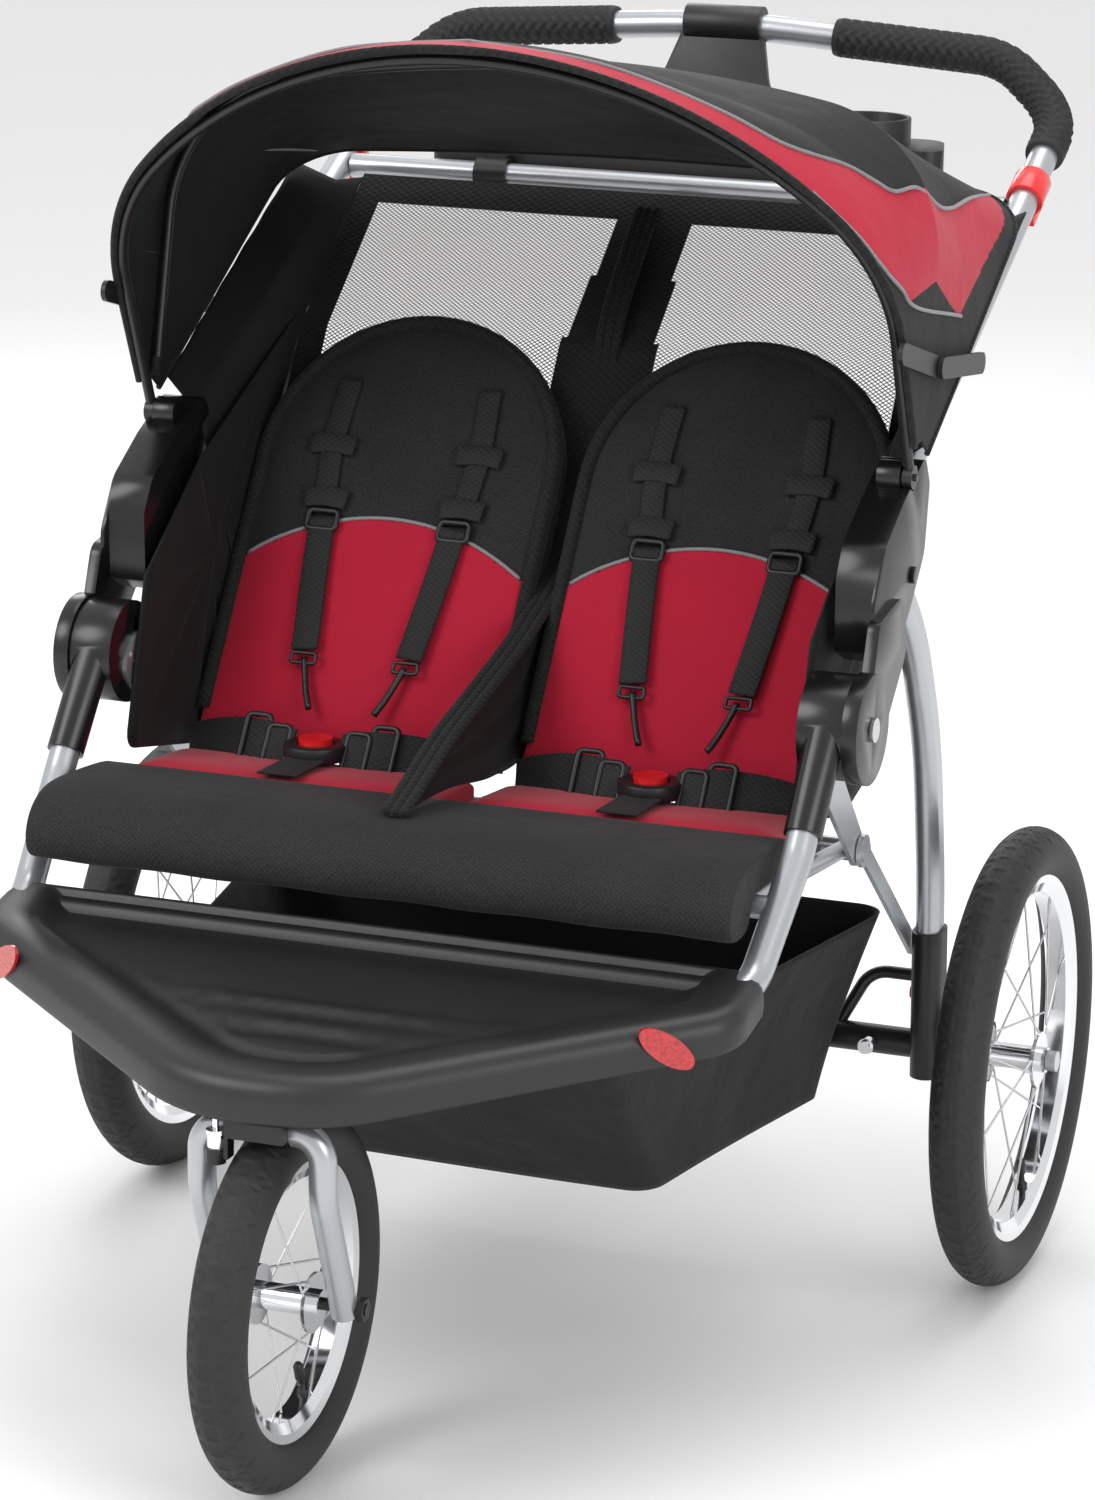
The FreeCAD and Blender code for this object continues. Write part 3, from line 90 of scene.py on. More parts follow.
def outward(piece):
    """Turns every face outwards."""
    work = bmesh.new()
    work.from_mesh(piece.data)
    bmesh.ops.recalc_face_normals(work, faces=work.faces)
    work.to_mesh(piece.data)
    work.free()
    return piece


def applied(piece):
    """Turns what the modifiers make into the piece's own mesh."""
    graph = bpy.context.evaluated_depsgraph_get()
    mesh = bpy.data.meshes.new_from_object(piece.evaluated_get(graph))
    piece.modifiers.clear()
    piece.data = mesh
    return piece


def joined(name, pieces):
    """One object from several."""
    points, faces, slots, materials = [], [], [], []
    for piece in pieces:
        base = len(points)
        points += [piece.matrix_world @ v.co for v in piece.data.vertices]
        local = list(piece.data.materials)
        for material in local:
            if material not in materials:
                materials.append(material)
        for polygon in piece.data.polygons:
            faces.append([base + i for i in polygon.vertices])
            slots.append(materials.index(local[polygon.material_index]) if local else 0)
    whole = mesh_piece(name, points, faces)
    for material in materials:
        whole.data.materials.append(material)
    whole.data.polygons.foreach_set("material_index", slots)
    for piece in pieces:
        bpy.data.objects.remove(piece)
    return whole


def smooth_line(points, count):
    """Evenly placed points along a smooth curve through the given ones (centripetal)."""
    p = np.array([tuple(q) for q in points], float)
    if len(p) == 2:
        return [Vector(p[0] + (p[1] - p[0]) * i / (count - 1)) for i in range(count)]
    ends = np.vstack([2 * p[0] - p[1], p, 2 * p[-1] - p[-2]])
    dense = []
    for i in range(len(p) - 1):
        a, b, c, d = ends[i:i + 4]
        ta = 0.0
        tb = ta + max(np.linalg.norm(b - a), 1e-9) ** 0.5
        tc = tb + max(np.linalg.norm(c - b), 1e-9) ** 0.5
        td = tc + max(np.linalg.norm(d - c), 1e-9) ** 0.5
        for t in np.linspace(tb, tc, 24, endpoint=i == len(p) - 2):
            ab = (tb - t) / (tb - ta) * a + (t - ta) / (tb - ta) * b
            bc = (tc - t) / (tc - tb) * b + (t - tb) / (tc - tb) * c
            cd = (td - t) / (td - tc) * c + (t - tc) / (td - tc) * d
            abc = (tc - t) / (tc - ta) * ab + (t - ta) / (tc - ta) * bc
            bcd = (td - t) / (td - tb) * bc + (t - tb) / (td - tb) * cd
            dense.append((tc - t) / (tc - tb) * abc + (t - tb) / (tc - tb) * bcd)
    dense = np.array(dense)
    run = np.concatenate([[0], np.cumsum(np.linalg.norm(np.diff(dense, axis=0), axis=1))])
    even = np.linspace(0, run[-1], count)
    return [Vector([np.interp(s, run, dense[:, k]) for k in range(3)]) for s in even]


def sweep(name, line, outline, across, closed=False):
    """Carries a closed outline (side, up) along a line; across(i, tangent) gives its side way."""
    points, faces = [], []
    n, m = len(line), len(outline)
    for i, p in enumerate(line):
        before = line[i - 1] if i or closed else line[0]
        after = line[(i + 1) % n] if i < n - 1 or closed else line[-1]
        tangent = (after - before).normalized()
        side = across(i, tangent)
        side = (side - tangent * side.dot(tangent)).normalized()
        up = side.cross(tangent)
        points += [p + side * a + up * b for a, b in outline]
    for i in range(n if closed else n - 1):
        for j in range(m):
            a, b = i * m + j, i * m + (j + 1) % m
            c, d = ((i + 1) % n) * m + (j + 1) % m, ((i + 1) % n) * m + j
            faces.append((a, b, c, d))
    if not closed:
        faces.append(tuple(range(m))[::-1])
        faces.append(tuple(range((n - 1) * m, n * m)))
    return outward(mesh_piece(name, points, faces))


def ring_outline(radius, count):
    """A round outline."""
    return [(radius * math.cos(2 * math.pi * i / count),
             radius * math.sin(2 * math.pi * i / count)) for i in range(count)]


def strap_outline(width, thick):
    """Flat webbing with rolled edges."""
    w, t = width / 2, thick / 2
    return [(-w, -t * 0.4), (-w + t, -t), (0, -t * 0.8), (w - t, -t), (w, -t * 0.4), (w, t * 0.4),
            (w - t, t), (0, t * 0.8), (-w + t, t), (-w, t * 0.4)]


def steady(direction):
    return lambda i, tangent: Vector(direction)


def piping(name, line, radius, closed=False):
    """A thin round cord sewn along a line, whose outline is carried on without twist."""
    last = {}

    def carried(i, tangent):
        side = last.get("side")
        if side is None:
            side = Vector((1, 0, 0)) if abs(tangent.x) < 0.8 else Vector((0, 0, 1))
        last["side"] = (side - tangent * side.dot(tangent)).normalized()
        return last["side"]
    return sweep(name, line, ring_outline(radius, 8), carried, closed)


def rounded_outline(corners, radii, per_arc, per_side):
    """Points around a polygon (x, y) whose corners are arcs, in equal numbers whatever its size."""
    count = len(corners)
    out = []
    starts, ends, centres = [], [], []
    for i in range(count):
        c = Vector(corners[i])
        back = (Vector(corners[i - 1]) - c).normalized()
        ahead = (Vector(corners[(i + 1) % count]) - c).normalized()
        half = back.angle(ahead) / 2
        reach = radii[i] / math.tan(half)
        starts.append(c + back * reach)
        ends.append(c + ahead * reach)
        centres.append(c + (back + ahead).normalized() * radii[i] / math.sin(half))
    for i in range(count):
        a, b, centre = starts[i] - centres[i], ends[i] - centres[i], centres[i]
        turn = a.angle_signed(b)
        for k in range(per_arc + 1):
            out.append(centre + Matrix.Rotation(-turn * k / per_arc, 2) @ a)
        nxt = starts[(i + 1) % count]
        for k in range(1, per_side):
            out.append(ends[i].lerp(nxt, k / per_side))
    return out


def ring_stack(name, rings):
    """Joins rings of equal point counts into one closed skin."""
    m = len(rings[0])
    points = [p for ring in rings for p in ring]
    faces = []
    for i in range(len(rings) - 1):
        for j in range(m):
            faces.append((i * m + j, i * m + (j + 1) % m, (i + 1) * m + (j + 1) % m,
                          (i + 1) * m + j))
    for i in (0, len(rings) - 1):
        points.append(sum((Vector(p) for p in rings[i]), Vector()) / m)
        for j in range(m):
            faces.append((len(points) - 1, i * m + j, i * m + (j + 1) % m))
    return outward(mesh_piece(name, points, faces))


MERGE_GAP = 0.00002
FLAT_ANGLE, ROUND_ANGLE, SHARP_ANGLE = (math.radians(a) for a in (0.6, 35, 32))


def grid_faces(across, tall):
    """Quads between a grid of points that was filled one column after another."""
    row = tall + 1
    return [(i * row + j, i * row + j + 1, (i + 1) * row + j + 1, (i + 1) * row + j)
            for i in range(across) for j in range(tall)]


def lay_weave(piece, row, wide, high):
    """Flat cloth coordinates for a grid of points, given the size of one cell."""
    layer = piece.data.uv_layers.new(name="weave")
    for loop in piece.data.loops:
        i, j = divmod(loop.vertex_index, row)
        layer.data[loop.index].uv = (wide * i, high * j)


def thickened(piece, thickness, offset, second_slots=0):
    """Gives a sheet its thickness; its far side may take later material slots."""
    wall = piece.modifiers.new("cloth", "SOLIDIFY")
    wall.thickness = thickness
    wall.offset = offset
    wall.material_offset = second_slots
    return applied(piece)


def softened(name, nodes, width):
    """A copy of moulded CAD nodes, with its sharp edges rounded."""
    copies = []
    for node in nodes:
        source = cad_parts[node]
        copy = bpy.data.objects.new(name, source.data.copy())
        copy.data.materials.clear()
        bpy.context.collection.objects.link(copy)
        copies.append(copy)
    piece = joined(name, copies) if len(copies) > 1 else copies[0]
    work = bmesh.new()
    work.from_mesh(piece.data)
    bmesh.ops.remove_doubles(work, verts=work.verts, dist=MERGE_GAP)
    bmesh.ops.dissolve_limit(work, angle_limit=FLAT_ANGLE, verts=work.verts, edges=work.edges)
    bmesh.ops.recalc_face_normals(work, faces=work.faces)
    work.to_mesh(piece.data)
    work.free()
    bevel = piece.modifiers.new("round edges", "BEVEL")
    bevel.width = width
    bevel.segments = 2
    bevel.limit_method = "ANGLE"
    bevel.angle_limit = ROUND_ANGLE
    applied(piece)
    piece.data.polygons.foreach_set("use_smooth", [True] * len(piece.data.polygons))
    piece.data.set_sharp_from_angle(angle=SHARP_ANGLE)
    return piece


def coat(piece, material):
    piece.data.materials.clear()
    piece.data.materials.append(material)
    return piece


def settle(piece, body, slot, *nodes):
    """Rides a finished piece on its body, and says which nodes it stands for."""
    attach(piece, body)
    if nodes:
        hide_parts(*nodes)
    return piece


# ------------------------------------------------------------------ shader groups and materials
def group(name, inputs, outputs):
    """A shader node group with named sockets."""
    tree = bpy.data.node_groups.new(name, "ShaderNodeTree")
    for label, kind, default in inputs:
        socket = tree.interface.new_socket(name=label, in_out="INPUT", socket_type=kind)
        socket.default_value = default
    for label, kind in outputs:
        tree.interface.new_socket(name=label, in_out="OUTPUT", socket_type=kind)
    return tree, tree.nodes.new("NodeGroupInput"), tree.nodes.new("NodeGroupOutput")


def wire(tree, source, target):
    tree.links.new(source, target)


def feed(tree, value, socket):
    """Links another socket's value to a socket, or sets a plain one."""
    if hasattr(value, "default_value"):
        tree.links.new(value, socket)
    else:
        socket.default_value = value


def maths(tree, operation, a, b=None, clamp=False):
    node = tree.nodes.new("ShaderNodeMath")
    node.operation = operation
    node.use_clamp = clamp
    for socket, value in zip(node.inputs, (a, b)):
        if value is not None:
            feed(tree, value, socket)
    return node.outputs[0]


def mix_colour(tree, factor, a, b, kind="MIX"):
    node = tree.nodes.new("ShaderNodeMix")
    node.data_type = "RGBA"
    node.blend_type = kind
    for socket, value in ((node.inputs[0], factor), (node.inputs[6], a), (node.inputs[7], b)):
        feed(tree, value, socket)
    return node.outputs[2]


def noise(tree, vector, scale, detail=2.0, rough=0.5):
    node = tree.nodes.new("ShaderNodeTexNoise")
    tree.links.new(vector, node.inputs["Vector"])
    feed(tree, scale, node.inputs["Scale"])
    node.inputs["Detail"].default_value = detail
    node.inputs["Roughness"].default_value = rough
    return node.outputs["Fac"]


def weave_group():
    """Two crossed threads: height, and a colour that is heathered and also lighter on the raised
    crossings and darker in the dips between threads (painted shade).
    """
    tree, take, give = group("Woven threads", (
        ("Vector", "NodeSocketVector", (0, 0, 0)), ("Thread", "NodeSocketFloat", 700.0),
        ("Dark", "NodeSocketColor", (0.01, 0.01, 0.01, 1)),
        ("Light", "NodeSocketColor", (0.05, 0.05, 0.05, 1)),
        ("Heather", "NodeSocketFloat", 0.5)), (
        ("Color", "NodeSocketColor"), ("Height", "NodeSocketFloat")))
    split = tree.nodes.new("ShaderNodeSeparateXYZ")
    wire(tree, take.outputs["Vector"], split.inputs[0])
    slant = maths(tree, "ADD", split.outputs[1], split.outputs[2])
    warp = maths(tree, "SINE", maths(tree, "MULTIPLY", split.outputs[0], take.outputs["Thread"]))
    weft = maths(tree, "SINE", maths(tree, "MULTIPLY", slant, take.outputs["Thread"]))
    height = maths(tree, "MULTIPLY", maths(tree, "ADD", maths(tree, "MULTIPLY", warp, weft), 1.0),
                   0.5)
    fleck = noise(tree, take.outputs["Vector"], maths(tree, "MULTIPLY", take.outputs["Thread"],
                                                     0.9), 1.0)
    patch = noise(tree, take.outputs["Vector"], 14.0, 3.0)
    spread = maths(tree, "MULTIPLY", maths(tree, "SUBTRACT", fleck, 0.5),
                   maths(tree, "MULTIPLY", take.outputs["Heather"], 3.0))
    # the weave height lightens the raised thread crossings and darkens the dips between them:
    # painted shade; the flecks and patches are the yarn's own heather
    amount = maths(tree, "ADD", maths(tree, "MULTIPLY", height, 0.45),
                   maths(tree, "ADD", spread, maths(tree, "MULTIPLY", patch, 0.5)), clamp=True)
    wire(tree, mix_colour(tree, amount, take.outputs["Dark"], take.outputs["Light"]),
         give.inputs["Color"])
    wire(tree, height, give.inputs["Height"])
    return tree


def folds_group():
    """Soft creases of cloth at hand scale, and finer puckers."""
    tree, take, give = group("Cloth creases", (
        ("Vector", "NodeSocketVector", (0, 0, 0)), ("Size", "NodeSocketFloat", 9.0),
        ("Stretch", "NodeSocketVector", (1, 1, 1))), (("Height", "NodeSocketFloat"),))
    place = tree.nodes.new("ShaderNodeVectorMath")
    place.operation = "MULTIPLY"
    wire(tree, take.outputs["Vector"], place.inputs[0])
    wire(tree, take.outputs["Stretch"], place.inputs[1])
    broad = noise(tree, place.outputs[0], take.outputs["Size"], 3.0, 0.55)
    fine = noise(tree, place.outputs[0], maths(tree, "MULTIPLY", take.outputs["Size"], 5.0), 2.0)
    wire(tree, maths(tree, "ADD", broad, maths(tree, "MULTIPLY", fine, 0.12)),
         give.inputs["Height"])
    return tree


def grain_group():
    """Fine surface grain, with broad soft unevenness in gloss."""
    tree, take, give = group("Surface grain", (
        ("Vector", "NodeSocketVector", (0, 0, 0)), ("Grain", "NodeSocketFloat", 900.0),
        ("Base", "NodeSocketColor", (0.1, 0.1, 0.1, 1)),
        ("Low gloss", "NodeSocketFloat", 0.4), ("High gloss", "NodeSocketFloat", 0.5),
        ("Variation", "NodeSocketFloat", 0.15)), (
        ("Color", "NodeSocketColor"), ("Roughness", "NodeSocketFloat"),
        ("Height", "NodeSocketFloat")))
    fine = noise(tree, take.outputs["Vector"], take.outputs["Grain"], 2.0, 0.6)
    broad = noise(tree, take.outputs["Vector"], 9.0, 4.0, 0.6)
    scuff = noise(tree, take.outputs["Vector"], 60.0, 5.0, 0.7)
    shade = maths(tree, "MULTIPLY", maths(tree, "SUBTRACT", broad, 0.5), take.outputs["Variation"])
    lift = mix_colour(tree, maths(tree, "ADD", maths(tree, "MULTIPLY", shade, 2.0), 0.5, True),
                      (0.72, 0.72, 0.72, 1), (1.28, 1.28, 1.28, 1))
    wire(tree, mix_colour(tree, 1.0, take.outputs["Base"], lift, "MULTIPLY"),
         give.inputs["Color"])
    spread = maths(tree, "SUBTRACT", take.outputs["High gloss"], take.outputs["Low gloss"])
    wire(tree, maths(tree, "ADD", take.outputs["Low gloss"],
                     maths(tree, "MULTIPLY", spread, maths(
                         tree, "ADD", maths(tree, "MULTIPLY", broad, 0.5),
                         maths(tree, "MULTIPLY", scuff, 0.5)))), give.inputs["Roughness"])
    wire(tree, fine, give.inputs["Height"])
    return tree


def blank(name):
    material = bpy.data.materials.new(name)
    material.use_nodes = True
    tree = material.node_tree
    tree.nodes.clear()
    shader = tree.nodes.new("ShaderNodeBsdfPrincipled")
    output = tree.nodes.new("ShaderNodeOutputMaterial")
    tree.links.new(shader.outputs[0], output.inputs[0])
    place = tree.nodes.new("ShaderNodeTexCoord").outputs["Object"]
    return material, tree, shader, place


def use(tree, name, **values):
    node = tree.nodes.new("ShaderNodeGroup")
    node.node_tree = bpy.data.node_groups[name]
    for key, value in values.items():
        feed(tree, value, node.inputs[key.replace("_", " ")])
    return node


def bump(tree, height, distance, strength=1.0, under=None):
    node = tree.nodes.new("ShaderNodeBump")
    node.inputs["Distance"].default_value = distance
    node.inputs["Strength"].default_value = strength
    tree.links.new(height, node.inputs["Height"])
    if under is not None:
        tree.links.new(under, node.inputs["Normal"])
    return node.outputs[0]


def hard_material(name, base, gloss, metallic=0.0, grain=900.0, depth=0.00004, variation=0.15,
                  coated=0.0):
    """Moulded plastic, paint or plating."""
    material, tree, shader, place = blank(name)
    skin = use(tree, "Surface grain", Vector=place, Grain=grain, Base=(*base, 1),
               Low_gloss=gloss[0], High_gloss=gloss[1], Variation=variation)
    tree.links.new(skin.outputs["Color"], shader.inputs["Base Color"])
    tree.links.new(skin.outputs["Roughness"], shader.inputs["Roughness"])
    shader.inputs["Metallic"].default_value = metallic
    shader.inputs["Coat Weight"].default_value = coated
    shader.inputs["Coat Roughness"].default_value = 0.12
    if depth:
        tree.links.new(bump(tree, skin.outputs["Height"], depth), shader.inputs["Normal"])
    return material


def cloth_material(name, dark, light, thread=1400.0, heather=0.5, crease=0.004, size=7.0,
                   stretch=(1, 1, 1), rough=0.86, sheen=0.15, weave_depth=0.00025):
    """Woven cloth: thread, heathering, painted shade in the weave's dips, creases and a little
    sheen.
    """
    material, tree, shader, place = blank(name)
    cloth = use(tree, "Woven threads", Vector=place, Thread=thread, Dark=(*dark, 1),
                Light=(*light, 1), Heather=heather)
    creases = use(tree, "Cloth creases", Vector=place, Size=size, Stretch=stretch)
    tree.links.new(cloth.outputs["Color"], shader.inputs["Base Color"])
    shader.inputs["Roughness"].default_value = rough
    shader.inputs["Sheen Weight"].default_value = sheen
    shader.inputs["Sheen Roughness"].default_value = 0.45
    shader.inputs["Specular IOR Level"].default_value = 0.3
    broad = bump(tree, creases.outputs["Height"], crease)
    tree.links.new(bump(tree, cloth.outputs["Height"], weave_depth, 0.6, broad),
                   shader.inputs["Normal"])
    return material


def mesh_material(name, colour, pitch, hole):
    """Open diamond mesh: the holes are clear."""
    material, tree, shader, _ = blank(name)
    flow = tree.nodes.new("ShaderNodeUVMap")
    flow.uv_map = "weave"
    split = tree.nodes.new("ShaderNodeSeparateXYZ")
    tree.links.new(flow.outputs[0], split.inputs[0])
    lines = []
    for sign in (1.0, -1.0):
        slant = maths(tree, "ADD", maths(tree, "MULTIPLY", split.outputs[0], 1.0 / pitch),
                      maths(tree, "MULTIPLY", split.outputs[1], sign / (pitch * 0.72)))
        lines.append(maths(tree, "PINGPONG", slant, 0.5))
    nearest = maths(tree, "MINIMUM", lines[0], lines[1])
    thread = maths(tree, "LESS_THAN", nearest, hole)
    shader.inputs["Base Color"].default_value = (*colour, 1)
    shader.inputs["Roughness"].default_value = 0.8
    tree.links.new(thread, shader.inputs["Alpha"])
    return material


def build_materials(look):
    """Every finish on the stroller, by name."""
    weave_group()
    folds_group()
    grain_group()
    silver = tuple(look.frame_silver)
    red = tuple(look.cloth_red)
    black = tuple(look.plastic_black)
    hard_material("Silver powder coat", silver, (0.26, 0.36), 0.75, 1800, 0.00002, 0.06)
    hard_material("Black moulding", black, (0.36, 0.48), 0.0, 1500, 0.00005, 0.25)
    hard_material("Black casting", (0.006, 0.006, 0.0065), (0.2, 0.32), 0.0, 1400, 0.00003, 0.2)
    hard_material("Black powder coat", (0.009, 0.009, 0.01), (0.3, 0.42), 0.0, 1800, 0.00003)
    hard_material("Tray moulding", (0.014, 0.014, 0.0145), (0.34, 0.46), 0.0, 1300, 0.00006, 0.3)
    hard_material("Red moulding", tuple(look.plastic_red), (0.2, 0.3), 0.0, 900, 0.00002, 0.1,
                  0.4)
    hard_material("Chrome", (0.8, 0.81, 0.83), (0.06, 0.13), 1.0, 700, 0.0, 0.06)
    hard_material("Zinc plate", (0.58, 0.59, 0.6), (0.24, 0.36), 1.0, 1200, 0.00002, 0.12)
    hard_material("Spoke wire", (0.6, 0.61, 0.62), (0.2, 0.3), 1.0, 900, 0.0, 0.1)
    hard_material("Tyre rubber", (0.015, 0.015, 0.016), (0.56, 0.7), 0.0, 1700, 0.0001, 0.3)
    hard_material("Grip foam", (0.012, 0.012, 0.012), (0.62, 0.78), 0.0, 1500, 0.00012, 0.3)
    hard_material("Board", (0.012, 0.012, 0.013), (0.5, 0.6), 0.0, 900, 0.00004, 0.2)
    cloth_material("Hood cloth", (0.006, 0.006, 0.0065), (0.017, 0.017, 0.018), 1500, 0.4, 0.006,
                   7.0, (1, 1, 1), 0.8, 0.05)
    cloth_material("Hood lining", (0.003, 0.003, 0.003), (0.010, 0.010, 0.010), 1500, 0.3, 0.009,
                   6.0, (1, 1, 1), 0.75, 0.03)
    cloth_material("Red cloth", tuple(c * 0.72 for c in red), red, 1500, 0.35, 0.005, 8.0,
                   (1, 1, 1), 0.72, 0.12)
    cloth_material("Seat twill", (0.007, 0.007, 0.008), (0.030, 0.030, 0.032), 1300, 0.8, 0.004,
                   9.0, (1, 1, 1), 0.86, 0.05)
    cloth_material("Side cloth", (0.005, 0.005, 0.005), (0.014, 0.014, 0.014), 1500, 0.4, 0.007,
                   6.0, (1, 1, 0.5), 0.8, 0.04)
    cloth_material("Basket cloth", (0.005, 0.005, 0.006), (0.016, 0.016, 0.017), 1400, 0.4, 0.008,
                   6.0, (1, 1, 1), 0.8, 0.04)
    cloth_material("Webbing", (0.007, 0.007, 0.007), (0.026, 0.026, 0.026), 900, 0.3, 0.0005,
                   20.0, (1, 1, 1), 0.7, 0.04, 0.0006)
    cloth_material("Knit binding", (0.005, 0.005, 0.005), (0.02, 0.02, 0.02), 700, 0.5,
                   0.0008, 40.0, (1, 1, 1), 0.85, 0.06, 0.0012)
    cloth_material("Grey piping", (0.16, 0.16, 0.165), (0.3, 0.3, 0.31), 1500, 0.3, 0.0003, 20.0,
                   (1, 1, 1), 0.5, 0.1)
    cloth_material("Red seat cloth", tuple(c * 0.72 for c in red), red, 1500, 0.3, 0.003, 9.0)
    mesh_material("Window mesh", (0.02, 0.02, 0.02), 0.0052, 0.135)
    mesh_material("Roof mesh", (0.012, 0.012, 0.012), 0.0040, 0.3)
    reflector_material(look)


def reflector_material(look):
    """Clear red lens over a faceted back."""
    _, tree, shader, place = blank("Red lens")
    cells = tree.nodes.new("ShaderNodeTexVoronoi")
    cells.inputs["Scale"].default_value = 420.0
    tree.links.new(place, cells.inputs["Vector"])
    red = (*look.plastic_red, 1)
    tree.links.new(mix_colour(tree, cells.outputs["Distance"], red, (0.25, 0.006, 0.006, 1)),
                   shader.inputs["Base Color"])
    shader.inputs["Roughness"].default_value = 0.18
    shader.inputs["Coat Weight"].default_value = 0.8
    tree.links.new(bump(tree, cells.outputs["Distance"], 0.0004), shader.inputs["Normal"])


def finish(name):
    return bpy.data.materials[name]


NODE_FINISH = {
    "Silver powder coat": ("front_frame_tube", "seat_frame", "fork_legs", "handle_tube",
                           "cross_tube", "rear_legs", "fold_links"),
    "Black casting": ("lower_hinges", "upper_hinges"),
    "Black moulding": ("console", "console_clamps", "canopy_stay_front", "canopy_stay_rear",
                       "leg_sockets", "brake_ring_left", "brake_ring_right", "harness_buckles"),
    "Black powder coat": ("steering_head", "fork_fittings", "canopy_front_bow", "canopy_mid_bow",
                          "axle_tube", "axle_braces"),
    "Red moulding": ("harness_button_left", "harness_button_right", "fold_lever_left",
                     "fold_lever_right", "brake_lever_left", "brake_lever_right"),
    "Chrome": ("rim_rear_left", "rim_rear_right", "rim_front", "hub_rear_left",
               "hub_rear_right", "hub_front", "swivel_lock", "release_pin_left",
               "release_pin_right"),
    "Zinc plate": ("fold_pins", "rear_axles"),
    "Spoke wire": ("spokes_rear_left", "spokes_rear_right", "spokes_front"),
    "Board": ("seat_boards",),
    "Tray moulding": ("footrest_tray",),
    "Red lens": ("tray_reflectors",),
    "Hood cloth": ("canopy_hood",),
    "Seat twill": ("seat_pads", "seat_back_left", "seat_back_right"),
    "Side cloth": ("side_panels", "centre_divider", "seat_front_pad", "back_panel"),
    "Basket cloth": ("basket",),
    "Webbing": ("harness_webbing",),
    "Tyre rubber": ("tyre_rear_left", "tyre_rear_right", "tyre_front"),
    "Grip foam": ("handle_grips",),
}


def finish_nodes():
    """Puts a finish on every node that is carried over as it is."""
    for name, nodes in NODE_FINISH.items():
        for node in nodes:
            coat(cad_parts[node], finish(name))


# ------------------------------------------------------------------ stage
LIGHTS = (("key_light", (-2.6, -3.2, 3.6), 2.6, 1.0), ("fill_light", (3.6, -2.4, 2.2), 2.4, 0.55),
          ("top_light", (0.2, 0.8, 4.2), 3.0, 0.6), ("back_light", (-1.8, 3.4, 2.6), 2.0, 0.35))
CAMERA_PLACE = (1428.5, -3947.7, 1526.3)
CAMERA_TURN = (20.28, 14.61, 0.974)
CAMERA_LENS = 118.33
CAMERA_SHIFT = (-0.006, -0.001)


def build_stage(look):
    """Pale floor, soft lights and the camera."""
    floor = mesh_piece("studio_floor", [(-30, -30, 0), (30, -30, 0), (30, 60, 0), (-30, 60, 0)],
                       [(0, 1, 2, 3)], False)
    material, _, shader, _ = blank("Studio floor")
    shader.inputs["Base Color"].default_value = (*look.floor_tone, 1)
    shader.inputs["Roughness"].default_value = 0.9
    shader.inputs["Specular IOR Level"].default_value = 0.1
    coat(floor, material)
    world = bpy.data.worlds.new("Studio air")
    world.use_nodes = True
    world.node_tree.nodes["Background"].inputs[0].default_value = (1, 1, 1, 1)
    world.node_tree.nodes["Background"].inputs[1].default_value = look.air_light
    bpy.context.scene.world = world
    middle = Vector((0, 0, 0.6))
    for name, place, size, share in LIGHTS:
        lamp = bpy.data.lights.new(name, "AREA")
        lamp.shape = "DISK"
        lamp.size = size
        lamp.energy = look.key_light * share
        light = bpy.data.objects.new(name, lamp)
        light.location = place
        light.rotation_euler = (middle - Vector(place)).to_track_quat("-Z", "Y").to_euler()
        bpy.context.collection.objects.link(light)
    yaw, pitch, roll = (math.radians(a) for a in CAMERA_TURN)
    ahead = Vector((-math.sin(yaw) * math.cos(pitch), math.cos(yaw) * math.cos(pitch),
                    -math.sin(pitch)))
    right = Vector((math.cos(yaw), math.sin(yaw), 0))
    up = right.cross(ahead)
    turned_right = right * math.cos(roll) + up * math.sin(roll)
    turned_up = up * math.cos(roll) - right * math.sin(roll)
    view = Matrix((turned_right, turned_up, -ahead)).transposed().to_4x4()
    view.translation = spot(*CAMERA_PLACE)
    lens = bpy.data.cameras.new("camera")
    lens.sensor_width = 36
    lens.lens = CAMERA_LENS
    lens.shift_x, lens.shift_y = CAMERA_SHIFT
    lens.clip_end = 100
    camera = bpy.data.objects.new("camera", lens)
    bpy.context.collection.objects.link(camera)
    camera.matrix_world = view
    bpy.context.scene.camera = camera
    bpy.context.scene.view_settings.view_transform = "Standard"


# ------------------------------------------------------------------ wheels
def tread_depth(turn, side, cells):
    """Depth of the grooves at a place on the tread, from 0 to 1."""
    cell = (turn * cells) % 1.0
    flip = np.abs(side)

    def cut(distance, width):
        return np.clip(1 - (distance / width) ** 2, 0, 1)
    middle = cut(np.abs(flip - 0.1), 0.05) * ((cell < 0.36) | ((cell > 0.5) & (cell < 0.86)))
    loop = np.sqrt(((cell - 0.42) / 0.36) ** 2 + ((flip - 0.5) / 0.24) ** 2)
    arc = cut(np.abs(loop - 1), 0.17) * ((cell < 0.52) | (flip > 0.5))
    dash = cut(np.abs(flip - 0.52 - (cell - 0.42) * 0.6), 0.07) * (np.abs(cell - 0.42) < 0.12)
    edge = cut(np.abs(cell - 0.9 + (flip - 0.8) * 0.5), 0.05) * (flip > 0.72) * (flip < 0.99)
    return np.maximum.reduce([middle, arc, dash, edge])


